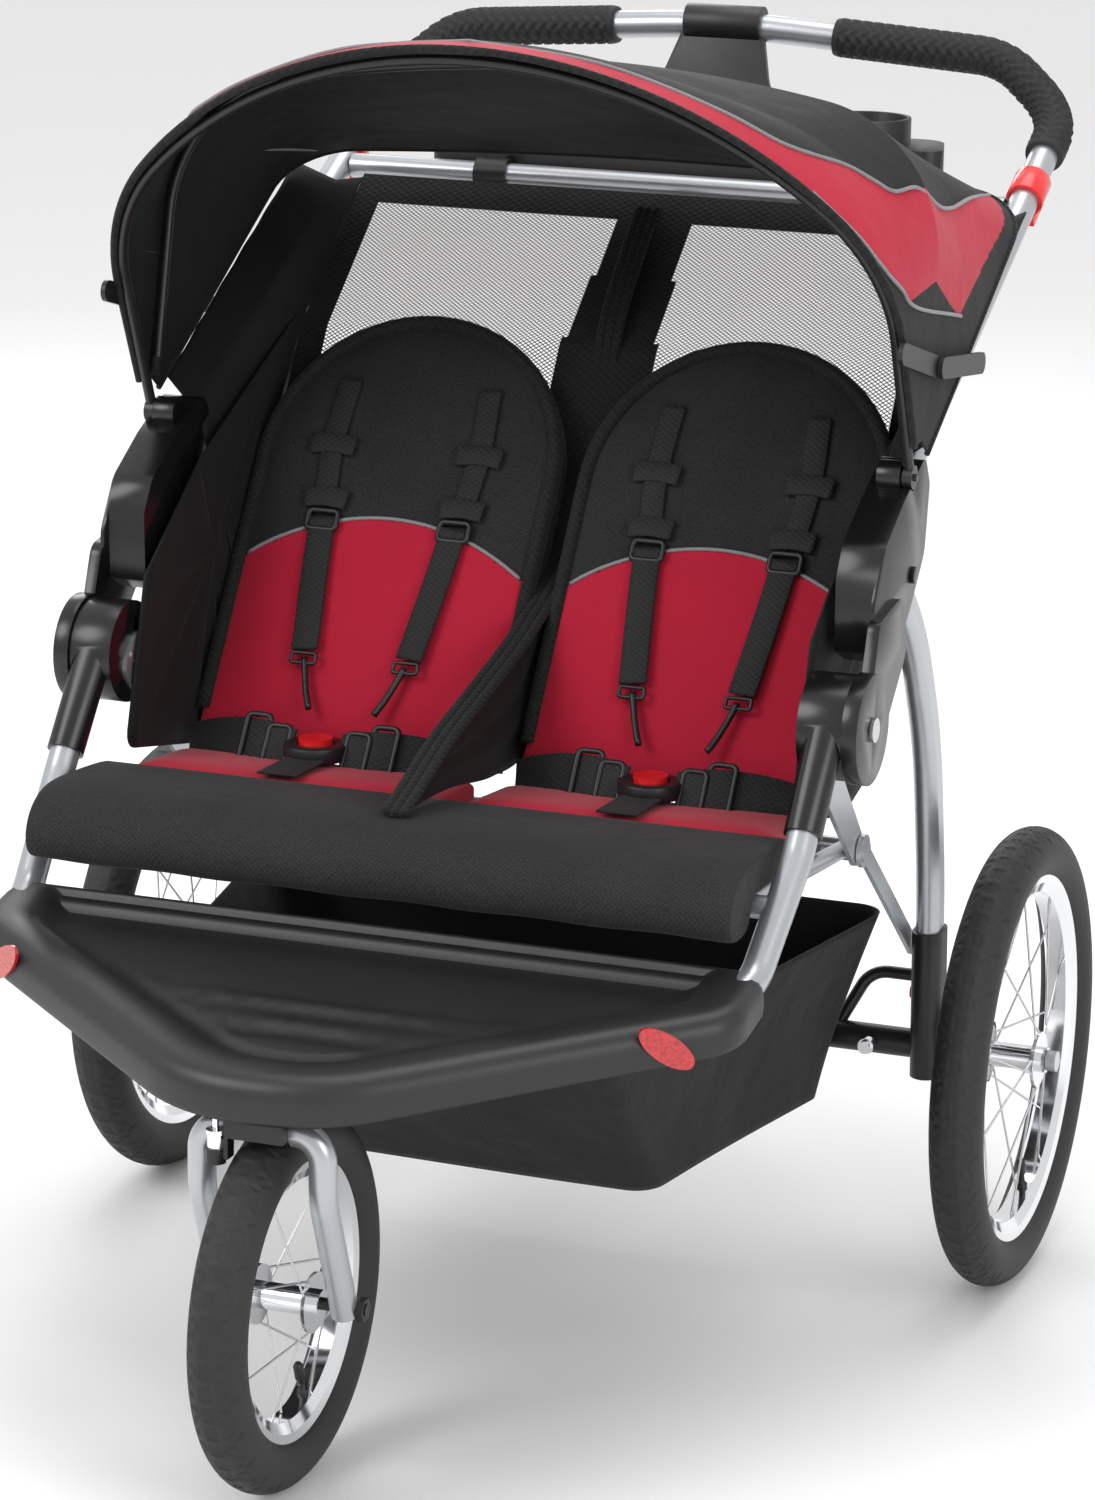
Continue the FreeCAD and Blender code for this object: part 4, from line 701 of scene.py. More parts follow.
def tyre_piece(name, wheel, cells):
    """Air tyre with a moulded tread, closed where it sits in the rim."""
    low, high = (Vector(c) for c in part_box("tyre_" + wheel))
    centre = (low + high) / 2
    radius = (high.z - low.z) / 2
    half = (high.x - low.x) / 2
    rows = 900 if radius > 0.18 else 720
    profile = []
    for k in range(45):
        turn = math.radians(-142 + 284 * k / 44)
        wide = half * math.sin(turn)
        tall = half * math.cos(turn)
        side = turn / math.radians(62)
        profile.append((wide, tall, side))
    x = np.array([p[0] for p in profile])
    up = np.array([p[1] for p in profile])
    side = np.array([p[2] for p in profile])
    turn = np.arange(rows) / rows
    t, s = np.meshgrid(turn, side, indexing="ij")
    depth = tread_depth(t, s, cells) * (np.abs(s) < 1)
    rib = 0.0004 * (np.abs(np.abs(s) - 1.25) < 0.04)
    out = up[None, :] * (1 - 0.0013 * depth / half) + rib
    wide = np.broadcast_to(x[None, :], out.shape) * (1 - 0.0013 * depth / half)
    ring = radius - half + out
    points = np.stack([centre.x + wide, centre.y + ring * np.cos(2 * np.pi * t),
                       centre.z + ring * np.sin(2 * np.pi * t)], axis=-1).reshape(-1, 3)
    m = len(profile)
    faces = []
    for i in range(rows):
        j = (i + 1) % rows
        for k in range(m):
            faces.append((i * m + k, i * m + (k + 1) % m, j * m + (k + 1) % m, j * m + k))
    piece = outward(mesh_piece(name, points, faces))
    return coat(piece, finish("Tyre rubber"))


def valve_piece(name, wheel, angle):
    """Air valve with its cap, pointing from the rim to the hub."""
    low, high = (Vector(c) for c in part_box("rim_" + wheel))
    centre = (low + high) / 2
    bed = (high.z - low.z) / 2 - 0.016
    out = Vector((0, math.cos(angle), math.sin(angle)))
    steps = ((0.0, 0.0045), (0.004, 0.0045), (0.004, 0.003), (0.016, 0.003), (0.016, 0.0042),
             (0.028, 0.0042), (0.031, 0.0025))
    rings = []
    side = Vector((1, 0, 0))
    other = out.cross(side)
    for down, radius in steps:
        middle = centre + out * (bed - down)
        rings.append([middle + (side * math.cos(a) + other * math.sin(a)) * radius
                      for a in np.linspace(0, 2 * math.pi, 14, endpoint=False)])
    return coat(ring_stack(name, rings), finish("Black moulding"))


def build_wheels(look):
    """Tyres and valves; rims, spokes and hubs keep their frame shapes."""
    for wheel, body, cells in (("rear_left", "rear_wheel_left", 34),
                               ("rear_right", "rear_wheel_right", 34),
                               ("front", "front_wheel", 26)):
        settle(tyre_piece("tyre_" + wheel + "_tread", wheel, cells), body, "tyre",
               "tyre_" + wheel)
        settle(valve_piece("valve_" + wheel, wheel, math.radians(-70)), body, "black_plastic")


# ------------------------------------------------------------------ footrest tray
def tray_ring(inset, back, blend_in, height):
    """One ring round the tray: height(y) gives its level."""
    nose, shoulder = -740 + inset, -551 + 0.45 * inset
    half, front_half = 325 - inset, 57 - 0.35 * inset
    corners = [(-half, -478 - back), (half, -478 - back), (half, shoulder), (front_half, nose),
               (-front_half, nose), (-half, shoulder)]
    start, end = (16, 16, 45, 150, 150, 45), (6, 6, 14, 90, 90, 14)
    radii = [a + (b - a) * blend_in for a, b in zip(start, end)]
    return [spot(p[0], p[1], height(p[1])) for p in rounded_outline(corners, radii, 10, 12)]


def build_tray(look):
    """Moulded footrest with a rolled lip, a sunk floor and raised oval ribs."""
    def skirt(y, up=0.0):
        return 317 + 0.22 * (y + 740) + up

    def lip(y, down=0.0):
        return 352 + 0.2 * (y + 740) - down
    steps = (
        (4.5, 4.5, 0.08, lambda y: lip(y, 12)), (3.5, 3.5, 0.06, lambda y: skirt(y, 1)),
        (2.2, 2.2, 0.04, lambda y: skirt(y)), (0.4, 0.4, 0.0, lambda y: skirt(y, 0.6)),
        (0.0, 0.0, 0.0, lambda y: skirt(y, 4)), (0.2, 0.2, 0.0, lambda y: lip(y, 16)),
        (1.2, 0.9, 0.02, lambda y: lip(y, 10)), (4.0, 2.4, 0.07, lambda y: lip(y, 5)),
        (9.0, 4.0, 0.16, lambda y: lip(y, 1.4)), (16.0, 5.5, 0.3, lambda y: lip(y, 0.1)),
        (28.0, 7.0, 0.52, lambda y: lip(y, 0.2)), (38.0, 8.4, 0.7, lambda y: lip(y, 2.0)),
        (46.0, 10.0, 0.85, lambda y: lip(y, 5.5)), (52.0, 13.0, 0.96, lambda y: lip(y, 10.5)),
        (58.0, 19.0, 1.0, lambda y: lip(y, 14.4)), (66.0, 28.0, 1.0, lambda y: lip(y, 16.0)))
    rings = [tray_ring(*step) for step in steps]
    floor = rings[-1]
    centre = sum(floor, Vector()) / len(floor)
    for share in np.linspace(0.95, 0.05, 19):
        ring = []
        for p in floor:
            q = centre.lerp(p, share)
            x, y = q.x * 1000, (q.y - AXLE_Y) * 1000
            rise = 0.0
            for cy, wide, deep in ((-658, 88, 12), (-622, 130, 8), (-592, 172, 6)):
                oval = math.hypot(x / wide, (y - cy) / deep)
                rise += 2.2 / (1 + math.exp(min((oval - 1) * 14, 60)))
            ring.append(spot(x, y, lip(y, 16) + rise))
        rings.append(ring)
    under = [(80, 45, 1.0, lambda y: lip(y, 20)), (56, 24, 1.0, lambda y: lip(y, 20)),
             (44, 16, 0.8, lambda y: lip(y, 10)), (30, 12, 0.5, lambda y: lip(y, 5)),
             (12, 9, 0.2, lambda y: lip(y, 7))]
    piece = ring_stack("footrest_tray_moulding", [tray_ring(*step) for step in under] + rings)
    settle(coat(piece, finish("Tray moulding")), "front_frame", "black_plastic", "footrest_tray")


# ------------------------------------------------------------------ canopy
PIVOT = (-180.0, 738.0)


ARCH_FOOT = 30.0


def arch_point(share, half, crown, side_height, corner):
    """A point (across, out) on the three-centre arch; share runs from -1 to 1."""
    fall = (half - corner) ** 2
    low = side_height - crown
    top = (corner ** 2 - fall - low ** 2) / (2 * (low + corner))
    high = crown - top
    lean = math.atan2(half - corner, side_height - high)
    side_run = side_height - ARCH_FOOT
    corner_run = corner * (math.pi / 2 - lean)
    top_run = top * lean
    way = abs(share) * (side_run + corner_run + top_run)
    sign = 1 if share >= 0 else -1
    if way < top_run:
        turn = way / top
        return sign * top * math.sin(turn), high + top * math.cos(turn)
    if way < top_run + corner_run:
        turn = lean + (way - top_run) / corner
        return (sign * (half - corner + corner * math.sin(turn)),
                side_height + corner * math.cos(turn))
    return sign * half, side_height - (way - top_run - corner_run)


BOWS = ((115.0, 378.0, 128.0, 178.0), (78.0, 320.0, 170.0, 130.0), (30.0, 390.0, 310.0, 66.0))


def hood_point(share, along, inset=0.0):
    """A point on the hood: share across the arch, along from 0 at the front to 2 at the back."""
    half = 343.4 - inset
    index = 0 if along < 1 else 1
    t = along - index
    ends = []
    for angle, crown, side, corner in BOWS[index:index + 2]:
        x, out = arch_point(share, half, crown - inset, side, corner - inset)
        turn = math.radians(angle)
        ends.append(Vector((x, PIVOT[0] + out * math.cos(turn), PIVOT[1] + out * math.sin(turn))))
    p = ends[0].lerp(ends[1], t)
    sag = 5.0 * math.sin(math.pi * t) * max(0.0, 1 - abs(share) ** 3)
    if index == 0:
        sag = -9.0 * math.sin(math.pi * min(t * 2, 1.0)) * max(0.0, 1 - (share / 0.7) ** 2)
    middle = Vector((0, PIVOT[0], PIVOT[1]))
    inwards = (middle - p)
    inwards.x = 0
    p += inwards.normalized() * sag
    return spot(*p)


HOOD_ACROSS, HOOD_DEEP = 260, 150


def hood_share(i):
    return -1 + 2 * i / HOOD_ACROSS


RED_FRONT = ((0.0, 0.03), (0.3, 0.025), (0.55, 0.02), (0.64, 0.03), (0.69, 0.06), (0.72, 0.12),
             (0.745, 0.22), (0.77, 0.31), (0.768, 1.60))
RED_REAR = ((0.768, 1.60), (0.73, 1.66), (0.67, 1.76), (0.61, 1.84), (0.55, 1.90), (0.478, 1.94))
RED_TOP = ((0.478, 1.94), (0.55, 1.6), (0.61, 1.35), (0.64, 1.14), (0.625, 0.9), (0.61, 0.64),
           (0.585, 0.56), (0.545, 0.46), (0.51, 0.3), (0.47, 0.2), (0.38, 0.17), (0.2, 0.15),
           (0.0, 0.15))
RED_PANEL = RED_FRONT + RED_REAR[1:] + RED_TOP[1:]


HOOD_BINDINGS = ((0.004, 0.4, 0.0032, "Knit binding"), (0.03, 1.6, 0.0018, "Knit binding"),
                 (1.0, 6.0, 0.0042, "Hood cloth"), (1.99, 0.4, 0.0026, "Knit binding"))


def in_panel(share, along):
    """Whether a place on the hood lies inside the red panel's outline."""
    inside = False
    for (ax, ay), (bx, by) in zip(RED_PANEL, RED_PANEL[1:] + RED_PANEL[:1]):
        if (ay > along) != (by > along):
            if share < ax + (along - ay) * (bx - ax) / (by - ay):
                inside = not inside
    return inside


def hood_finish(share, along):
    """0 black cloth, 1 red cloth, 2 open mesh."""
    way = abs(share)
    if ((way / 0.34) ** 2 + ((along - 0.62) / 0.26) ** 2) < 1:
        return 2
    return 1 if in_panel(way, along) else 0


def build_hood(look):
    """Hood: one cloth sheet over the bows, with its coloured panels, seams and bindings."""
    points = [hood_point(hood_share(i), 2 * j / HOOD_DEEP)
              for i in range(HOOD_ACROSS + 1) for j in range(HOOD_DEEP + 1)]
    slots = [hood_finish(hood_share(i + 0.5), 2 * (j + 0.5) / HOOD_DEEP)
             for i in range(HOOD_ACROSS) for j in range(HOOD_DEEP)]
    piece = mesh_piece("canopy_hood_cloth", points, grid_faces(HOOD_ACROSS, HOOD_DEEP))
    lay_weave(piece, HOOD_DEEP + 1, 1.5 / HOOD_ACROSS, 0.6 / HOOD_DEEP)
    coat(piece, finish("Hood cloth"))
    for name in ("Red cloth", "Roof mesh", "Hood lining", "Hood lining", "Roof mesh"):
        piece.data.materials.append(finish(name))
    piece.data.polygons.foreach_set("material_index", slots)
    top = min(piece.data.polygons, key=lambda face: abs(face.center.x) - face.center.z)
    if top.normal.z < 0:
        piece.data.flip_normals()
    thickened(piece, 0.0012, -1, 3)
    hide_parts("canopy_hood")
    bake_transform(piece)
    trims = []
    for along, inset, radius, material in HOOD_BINDINGS:
        line = [hood_point(hood_share(i), along, inset) for i in range(0, HOOD_ACROSS + 1, 2)]
        trims.append(coat(piping("trim", line, radius), finish(material)))
    for seam in (RED_FRONT[2:], RED_TOP):
        for side in (-1, 1):
            line = smooth_line([hood_point(side * w, t, -0.9) for w, t in seam], 150)
            trims.append(coat(piping("trim", line, 0.0017), finish("Grey piping")))
    trim = joined("canopy_hood_trim", trims)
    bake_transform(trim)


# ------------------------------------------------------------------ seats
SEAT_MIDDLE = 149
BACK_LEAN = math.radians(57)
BACK_FOOT, BACK_TOP, BACK_HALF = 14, 411, 137
BACK_SHOULDER = BACK_TOP - BACK_HALF
ARC_STEPS, SIDE_STEPS = 28, 14


def back_spot(x, along, out):
    """A place on a back cushion: across, up its face, and out from its face."""
    return spot(x, -219 + along * math.cos(BACK_LEAN) - out * math.sin(BACK_LEAN),
                460 + along * math.sin(BACK_LEAN) + out * math.cos(BACK_LEAN))


def arch_ring(inset, out, middle):
    """One ring round an arched back cushion, at one level out from its face."""
    w, low = BACK_HALF - inset, BACK_FOOT + inset
    steps = range(SIDE_STEPS)
    turns = [math.pi * k / ARC_STEPS for k in range(ARC_STEPS)]
    pts = [(-w + 2 * w * k / SIDE_STEPS, low) for k in steps]
    pts += [(w, low + (BACK_SHOULDER - low) * k / SIDE_STEPS) for k in steps]
    pts += [(w * math.cos(a), BACK_SHOULDER + w * math.sin(a)) for a in turns]
    pts += [(-w, BACK_SHOULDER + (low - BACK_SHOULDER) * k / SIDE_STEPS) for k in steps]
    return [back_spot(middle + x, y, out) for x, y in pts]


def puff(inset, depth, reach):
    """Crown of a cushion at a distance in from its edge."""
    t = min(inset / reach, 1.0)
    return depth * math.sqrt(max(1 - (1 - t) ** 2, 0))


def slice_mesh(piece, places, direction):
    """Cuts extra edges across a mesh, so that a seam can follow them."""
    work = bmesh.new()
    work.from_mesh(piece.data)
    for place in places:
        bmesh.ops.bisect_plane(work, geom=work.verts[:] + work.edges[:] + work.faces[:],
                               plane_co=place, plane_no=direction)
    work.to_mesh(piece.data)
    work.free()


def red_line(x):
    """Height of the arched seam on a back cushion."""
    return 220 - 44 * (x / 130) ** 2


def back_front(x, along):
    """How far the crowned front face stands out at a place."""
    side = BACK_HALF - abs(x)
    if along > BACK_SHOULDER:
        side = BACK_HALF - math.hypot(x, along - BACK_SHOULDER)
    side = min(side, along - BACK_FOOT)
    return -14 + puff(max(side, 0.0), 13, 46)


def build_seat_backs(look):
    """Arched back cushions with a knit binding round the edge."""
    for name, side in SIDES:
        middle = side * SEAT_MIDDLE
        rings = []
        for inset in (130, 110, 90, 70, 50, 36, 26, 18, 12, 7, 3, 1):
            rings.append(arch_ring(inset, -44 + 6 - puff(inset, 6, 20), middle))
        rings.append(arch_ring(0, -24, middle))
        rings.append(arch_ring(0, -14, middle))
        for inset in (1, 3, 7, 12, 18, 26, 36, 50, 70, 90, 110, 130):
            rings.append(arch_ring(inset, -14 + puff(inset, 13, 46), middle))
        pad = ring_stack("seat_back_%s_cushion" % name, rings)
        coat(pad, finish("Seat twill"))
        pad.data.materials.append(finish("Red seat cloth"))
        slice_mesh(pad, [back_spot(0, along, 0) for along in range(150, 232, 4)],
                   back_spot(0, 1, 0) - back_spot(0, 0, 0))
        origin = back_spot(0, 0, 0)
        up = back_spot(0, 1000, 0) - origin
        out = back_spot(0, 0, 1000) - origin
        for face in pad.data.polygons:
            centre = face.center - origin
            along, x = centre.dot(up) * 1000, centre.x * 1000 - middle
            if along < red_line(x) and face.normal.dot(out) > 0.2:
                face.material_index = 1
        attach(pad, "seat_back_" + name)
        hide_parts("seat_back_" + name)
        edge = arch_ring(3, -9, middle)[SIDE_STEPS:]
        band = sweep("band", edge, [
            (a * 0.0085, b * 0.0065) for a, b in ring_outline(1, 12)],
            lambda i, tangent: back_spot(0, 0, 1) - back_spot(0, 0, 0))
        seam = [back_spot(middle + x, red_line(x), back_front(x, red_line(x)) + 0.8)
                for x in np.linspace(-126, 126, 60)]
        cord = coat(piping("cord", seam, 0.0017), finish("Grey piping"))
        trim = joined("seat_back_%s_binding" % name, [coat(band, finish("Knit binding")), cord])
        settle(trim, "seat_back_" + name, "black_cloth")


def slope_spot(x, y, up):
    """A place above the seat boards' underside."""
    fall = (440 - 415) / (-160 + 432)
    return spot(x, y, 450 - fall * (y + 432) + up)


def slab_ring(x_low, x_high, y_low, y_high, inset, up):
    """One ring round a seat cushion."""
    corners = [(x_low + inset, y_low + inset), (x_high - inset, y_low + inset),
               (x_high - inset, y_high - inset), (x_low + inset, y_high - inset)]
    ring = rounded_outline(corners, [max(12 - inset * 0.3, 3)] * 4, 6, 10)
    return [slope_spot(p[0], p[1], up) for p in ring]


def build_seat_pads(look):
    """Seat cushions."""
    pads = []
    for name, side in SIDES:
        low, high = sorted((side * 12, side * 286))
        rings = [slab_ring(low, high, -345, -236, i, 5.6) for i in (40, 20, 6, 2)]
        rings.append(slab_ring(low, high, -345, -236, 0, 10))
        rings.append(slab_ring(low, high, -345, -236, 0, 22))
        for inset in (1, 3, 7, 13, 22, 34, 48):
            rings.append(slab_ring(low, high, -345, -236, inset, 22 + puff(inset, 10.5, 34)))
        pads.append(coat(ring_stack("seat_pad_" + name, rings), finish("Red seat cloth")))
    pad = joined("seat_cushions", pads)
    settle(pad, "front_frame", "twill", "seat_pads")


def build_front_pad(look):
    """Thick padded panel over the front edge of the seats, with a lower seam."""
    profile = [(-349, 6), (-349, 30), (-354, 33), (-380, 33.5), (-420, 33), (-452, 31),
               (-472, 27), (-488, 19), (-499, 9), (-505, -3), (-506.5, -14), (-503, -24),
               (-494, -29), (-480, -29), (-468, -27), (-458, -24), (-456, -6), (-455, 4),
               (-430, 5.8), (-390, 5.8)]
    ends = ((-297, 0.9), (-299, 0.5), (-300, 0.2), (-300.3, 0))
    stations = list(ends[::-1]) + [(x, 1.0) for x in np.linspace(-296, 296, 75)]
    stations += [(-x, full) for x, full in ends]
    centre_y = sum(p[0] for p in profile) / len(profile)
    centre_u = sum(p[1] for p in profile) / len(profile)
    rings = []
    for x, full in stations:
        squeeze = 0.93 + 0.07 * math.sqrt(min(full, 1.0))
        ring = []
        for y, up in profile:
            crown = 0.0
            if up > 15 or y < -470:
                crown = 1.2 * math.sin(x / 17.0) * math.exp(-((y + 470) / 30) ** 2)
            ring.append(slope_spot(x, centre_y + (y - centre_y) * squeeze,
                                   centre_u + (up - centre_u) * squeeze + crown))
        rings.append(ring)
    pad = ring_stack("seat_front_panel", rings)
    smooth = pad.modifiers.new("soft", "SUBSURF")
    smooth.levels = smooth.render_levels = 1
    applied(pad)
    settle(coat(pad, finish("Seat twill")), "front_frame", "black_cloth", "seat_front_pad")


# ------------------------------------------------------------------ handle
def handle_line():
    """Middle line of the handle, from the left foot to the middle of the crossbar."""
    rise = math.tan(math.radians(27.3))
    foot, knee = -225, 318
    return [Vector((320, foot, 690)), Vector((320, knee, 690 + (knee - foot) * rise)),
            Vector((262, 337, 1018)), Vector((0, 330, 1036))]


def bend_points(corners, radii):
    """Points along straight runs joined by tangent arcs, in millimetres."""
    out = [corners[0]]
    for i in range(1, len(corners) - 1):
        c = corners[i]
        back = (corners[i - 1] - c).normalized()
        ahead = (corners[i + 1] - c).normalized()
        half = back.angle(ahead) / 2
        reach = radii[i] / math.tan(half)
        centre = c + (back + ahead).normalized() * radii[i] / math.sin(half)
        a = c + back * reach - centre
        turn = math.pi - 2 * half
        axis = a.cross(c + ahead * reach - centre).normalized()
        count = max(int(radii[i] * turn / 3.0), 3)
        for k in range(count + 1):
            out.append(centre + Matrix.Rotation(turn * k / count, 3, axis) @ a)
    out.append(corners[-1])
    return out


def build_grips(look):
    """Foam grips with a moulded chevron pattern."""
    corners = handle_line()
    tail = corners[1].lerp(corners[0], 0.10)
    start = corners[3].lerp(corners[2], 0.40)
    route = bend_points([tail, corners[1], corners[2], start], [0, 58, 70, 0])
    line = smooth_line([spot(*p) for p in route], 330)
    grips = []
    run = sum((b - a).length for a, b in zip(line, line[1:]))
    for side in (1, -1):
        way = [Vector((p.x * side, p.y, p.z)) for p in line]
        points, faces = [], []
        around = 44
        side_dir = Vector((0, 0, 1))
        for i, p in enumerate(way):
            before, after = way[max(i - 1, 0)], way[min(i + 1, len(way) - 1)]
            tangent = (after - before).normalized()
            side_dir = (side_dir - tangent * side_dir.dot(tangent)).normalized()
            up = side_dir.cross(tangent)
            s = run * i / (len(way) - 1)
            end = min(s, run - s)
            for k in range(around):
                a = 2 * math.pi * k / around
                zig = abs(((k / around * 8) % 1) * 2 - 1)
                wave = math.sin(2 * math.pi * (s / 0.0105 + zig * 0.9))
                r = 0.0168 + 0.0010 * max(min(wave * 1.6, 1), -1)
                if end < 0.006:
                    r = 0.0176 - 0.0012 * (1 - end / 0.006) ** 2
                points.append(p + (side_dir * math.cos(a) + up * math.sin(a)) * r)
        for i in range(len(way) - 1):
            for k in range(around):
                faces.append((i * around + k, i * around + (k + 1) % around,
                              (i + 1) * around + (k + 1) % around, (i + 1) * around + k))
        faces.append(tuple(range(around)))
        faces.append(tuple(range((len(way) - 1) * around, len(way) * around)))
        grips.append(coat(outward(mesh_piece("grip", points, faces)), finish("Grip foam")))
    settle(joined("handle_grip_foam", grips), "upper_frame", "foam", "handle_grips")


# ------------------------------------------------------------------ moulded pieces from the frame
SOFTENED = (
    ("hinge_castings", ("upper_hinges",), "upper_frame", "black_casting", "Black casting", 0.0022),
    ("hinge_drums", ("lower_hinges",), "front_frame", "black_casting", "Black casting", 0.002),
    ("console_moulding", ("console",), "upper_frame", "black_plastic", "Black moulding", 0.002),
    ("fold_lever_left_moulding", ("fold_lever_left",), "fold_lever_left", "red_plastic",
     "Red moulding", 0.0015),
    ("fold_lever_right_moulding", ("fold_lever_right",), "fold_lever_right", "red_plastic",
     "Red moulding", 0.0015),
    ("axle_sockets", ("leg_sockets",), "rear_legs", "black_plastic", "Black moulding", 0.0012),
    ("buckle_shells", ("harness_buckles",), "front_frame", "black_plastic", "Black moulding",
     0.0025),
)


def build_mouldings(look):
    """Rounded copies of the hard mouldings."""
    for name, nodes, body, slot, material, width in SOFTENED:
        piece = softened(name, nodes, width)
        settle(coat(piece, finish(material)), body, slot, *nodes)


# ------------------------------------------------------------------ basket
def build_basket(look):
    """Sagging cloth bin hung under the seats."""
    rings = []
    rows = 26
    for wall in (0, 1):
        for r in range(rows + 1):
            t = r / rows if wall == 0 else 1 - r / rows
            inset = 0 if wall == 0 else 2.0
            sag = 7 * math.sin(math.pi * t)
            front_y = -338 - (515 - 338) * t + inset
            back_y = -28 + 4 * t - inset
            half_front = 185 + 20 * t - inset
            half_back = 238 + 52 * t - inset
            z = 157 + 171 * t + (0 if wall == 0 or t > 0.02 else 2)
            corners = [(-half_front, front_y), (half_front, front_y), (half_back, back_y),
                       (-half_back, back_y)]
            ring = rounded_outline(corners, [26 - inset] * 4, 8, 16)
            ring_points = []
            for k, p in enumerate(ring):
                wave = 2.2 * math.sin(k * 0.8 + 3 * t) * math.sin(math.pi * t)
                q = Vector((p[0] * (1 - (sag + wave) / 400), p[1]))
                low = 5 * math.sin(k * 0.21) * (1 - t)
                ring_points.append(spot(q.x, q.y + sag * 0.3, z + low * 0.3))
            rings.append(ring_points)
    piece = ring_stack("basket_cloth_bin", rings)
    settle(coat(piece, finish("Basket cloth")), "front_frame", "black_cloth", "basket")


# ------------------------------------------------------------------ side cloths
def cloth_panel(name, corners, x, bulge):
    """A cloth wall in the side plane, blown gently outwards."""
    outline = [Vector(c) for c in rounded_outline(corners, [14] * len(corners), 4, 12)]
    centre = sum(outline, Vector((0, 0))) / len(outline)
    rings = []
    for side in (1, -1):
        shares = np.linspace(0.02, 1.0, 12) if side == 1 else np.linspace(1.0, 0.02, 12)
        for share in shares:
            ring = []
            for k, p in enumerate(outline):
                q = centre.lerp(p, share)
                out = bulge * (1 - share ** 2) + 1.5 * math.sin(k * 0.5) * share * (1 - share) * 4
                ring.append(spot(x + out + side, q.x, q.y))
            rings.append(ring)
    return ring_stack(name, rings)


def build_side_panels(look):
    """Cloth walls beside the seats."""
    corners = [(-330, 480), (-292, 620), (-180, 700), (40, 800), (56, 775), (-120, 470),
               (-190, 452)]
    for name, side in SIDES:
        piece = cloth_panel("side_cloth_" + name, corners, side * 292, side * 3)
        coat(piece, finish("Side cloth"))
        if side == 1:
            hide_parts("side_panels")
        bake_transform(piece)


DIVIDER_FRONT = ((128, 893), (86, 856), (36, 800), (12, 730), (-10, 662), (-78, 612), (-172, 572),
                 (-262, 547), (-350, 524), (-414, 500), (-452, 487))


def build_divider(look):
    """Pleated cloth wall between the seats, with a knit band along its front edge."""
    rear = ((168, 890), (112, 846), (66, 800), (22, 742), (-22, 680), (-70, 604), (-118, 536),
            (-166, 470), (-240, 466), (-340, 480), (-440, 484))
    front_line = smooth_line([spot(0, y, z) for y, z in DIVIDER_FRONT], 121)
    rear_line = smooth_line([spot(0, y, z) for y, z in rear], 121)
    points, faces = [], []
    rows = 13
    for side in (1, -1):
        for i, (near, far) in enumerate(zip(front_line, rear_line)):
            for k in range(rows):
                share = k / (rows - 1)
                pleat = 2.6 * math.sin(share * 6 * math.pi + i * 0.02) * (1 - 0.5 * share)
                p = near.lerp(far, share)
                p.x += (side * 1.2 + pleat) / 1000
                points.append(p)
    half = len(points) // 2
    last = 120
    for i in range(last):
        for k in range(rows - 1):
            a = i * rows + k
            quad = (a, a + 1, a + rows + 1, a + rows)
            faces += [quad, tuple(half + v for v in quad[::-1])]
    rim = ([i * rows for i in range(last + 1)]
           + [last * rows + k for k in range(1, rows)]
           + [i * rows + rows - 1 for i in range(last - 1, -1, -1)]
           + [k for k in range(rows - 2, 0, -1)])
    for a, b in zip(rim, rim[1:] + rim[:1]):
        faces.append((a, b, half + b, half + a))
    cloth = coat(outward(mesh_piece("centre_cloth", points, faces)), finish("Side cloth"))
    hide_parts("centre_divider")
    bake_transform(cloth)
    bands = []
    for way in (-1, 0, 1):
        line = [p + Vector((way * 0.0075, 0, 0)) for p in front_line]
        outline = [(a * 0.0046, b * 0.0034) for a, b in ring_outline(1, 8)]
        bands.append(coat(sweep("band", line, outline, steady((1, 0, 0))),
                          finish("Knit binding")))
    band = joined("centre_band", bands)
    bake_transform(band)


def build_wings(look):
    """Cloth between the back cloth, the handle tubes and the sides of the hood."""
    for name, side in SIDES:
        edge = [(289, 168, 897), (289, 98, 838), (289, 30, 784), (289, -40, 688),
                (289, -110, 582)]
        tube = [(306, 150, 896), (306, 80, 860), (306, 0, 818), (306, -90, 772), (306, -150, 736)]
        hood = [(341, 134, 912), (341, 60, 872), (341, -10, 834), (341, -90, 788),
                (341, -140, 760)]
        lines = [smooth_line([spot(side * x, y, z) for x, y, z in line], 40)
                 for line in (edge, tube, hood)]
        points = []
        for i in range(40):
            for k in range(21):
                share = k / 20
                if share < 0.5:
                    p = lines[0][i].lerp(lines[1][i], share * 2)
                else:
                    p = lines[1][i].lerp(lines[2][i], share * 2 - 1)
                p.y -= 0.004 * math.sin(share * math.pi) + 0.0012 * math.sin(i * 0.9 + k * 0.3)
                points.append(p)
        wing = mesh_piece("side_wing_" + name, points, grid_faces(39, 20))
        thickened(wing, 0.0014, 0)
        coat(outward(wing), finish("Side cloth"))
        settle(wing, "upper_frame", "black_cloth")


# ------------------------------------------------------------------ back cloth with windows
def back_cloth_spot(x, t):
    """A place on the back cloth: t runs from 0 at the cross tube to 1 at the foot."""
    line = ((172, 900), (30, 785), (-168, 460))
    first = math.dist(line[0], line[1])
    whole = first + math.dist(line[1], line[2])
    way = t * whole
    a, b, s = (line[0], line[1], way / first) if way < first else (
        line[1], line[2], (way - first) / (whole - first))
    return spot(x, a[0] + (b[0] - a[0]) * s, a[1] + (b[1] - a[1]) * s)


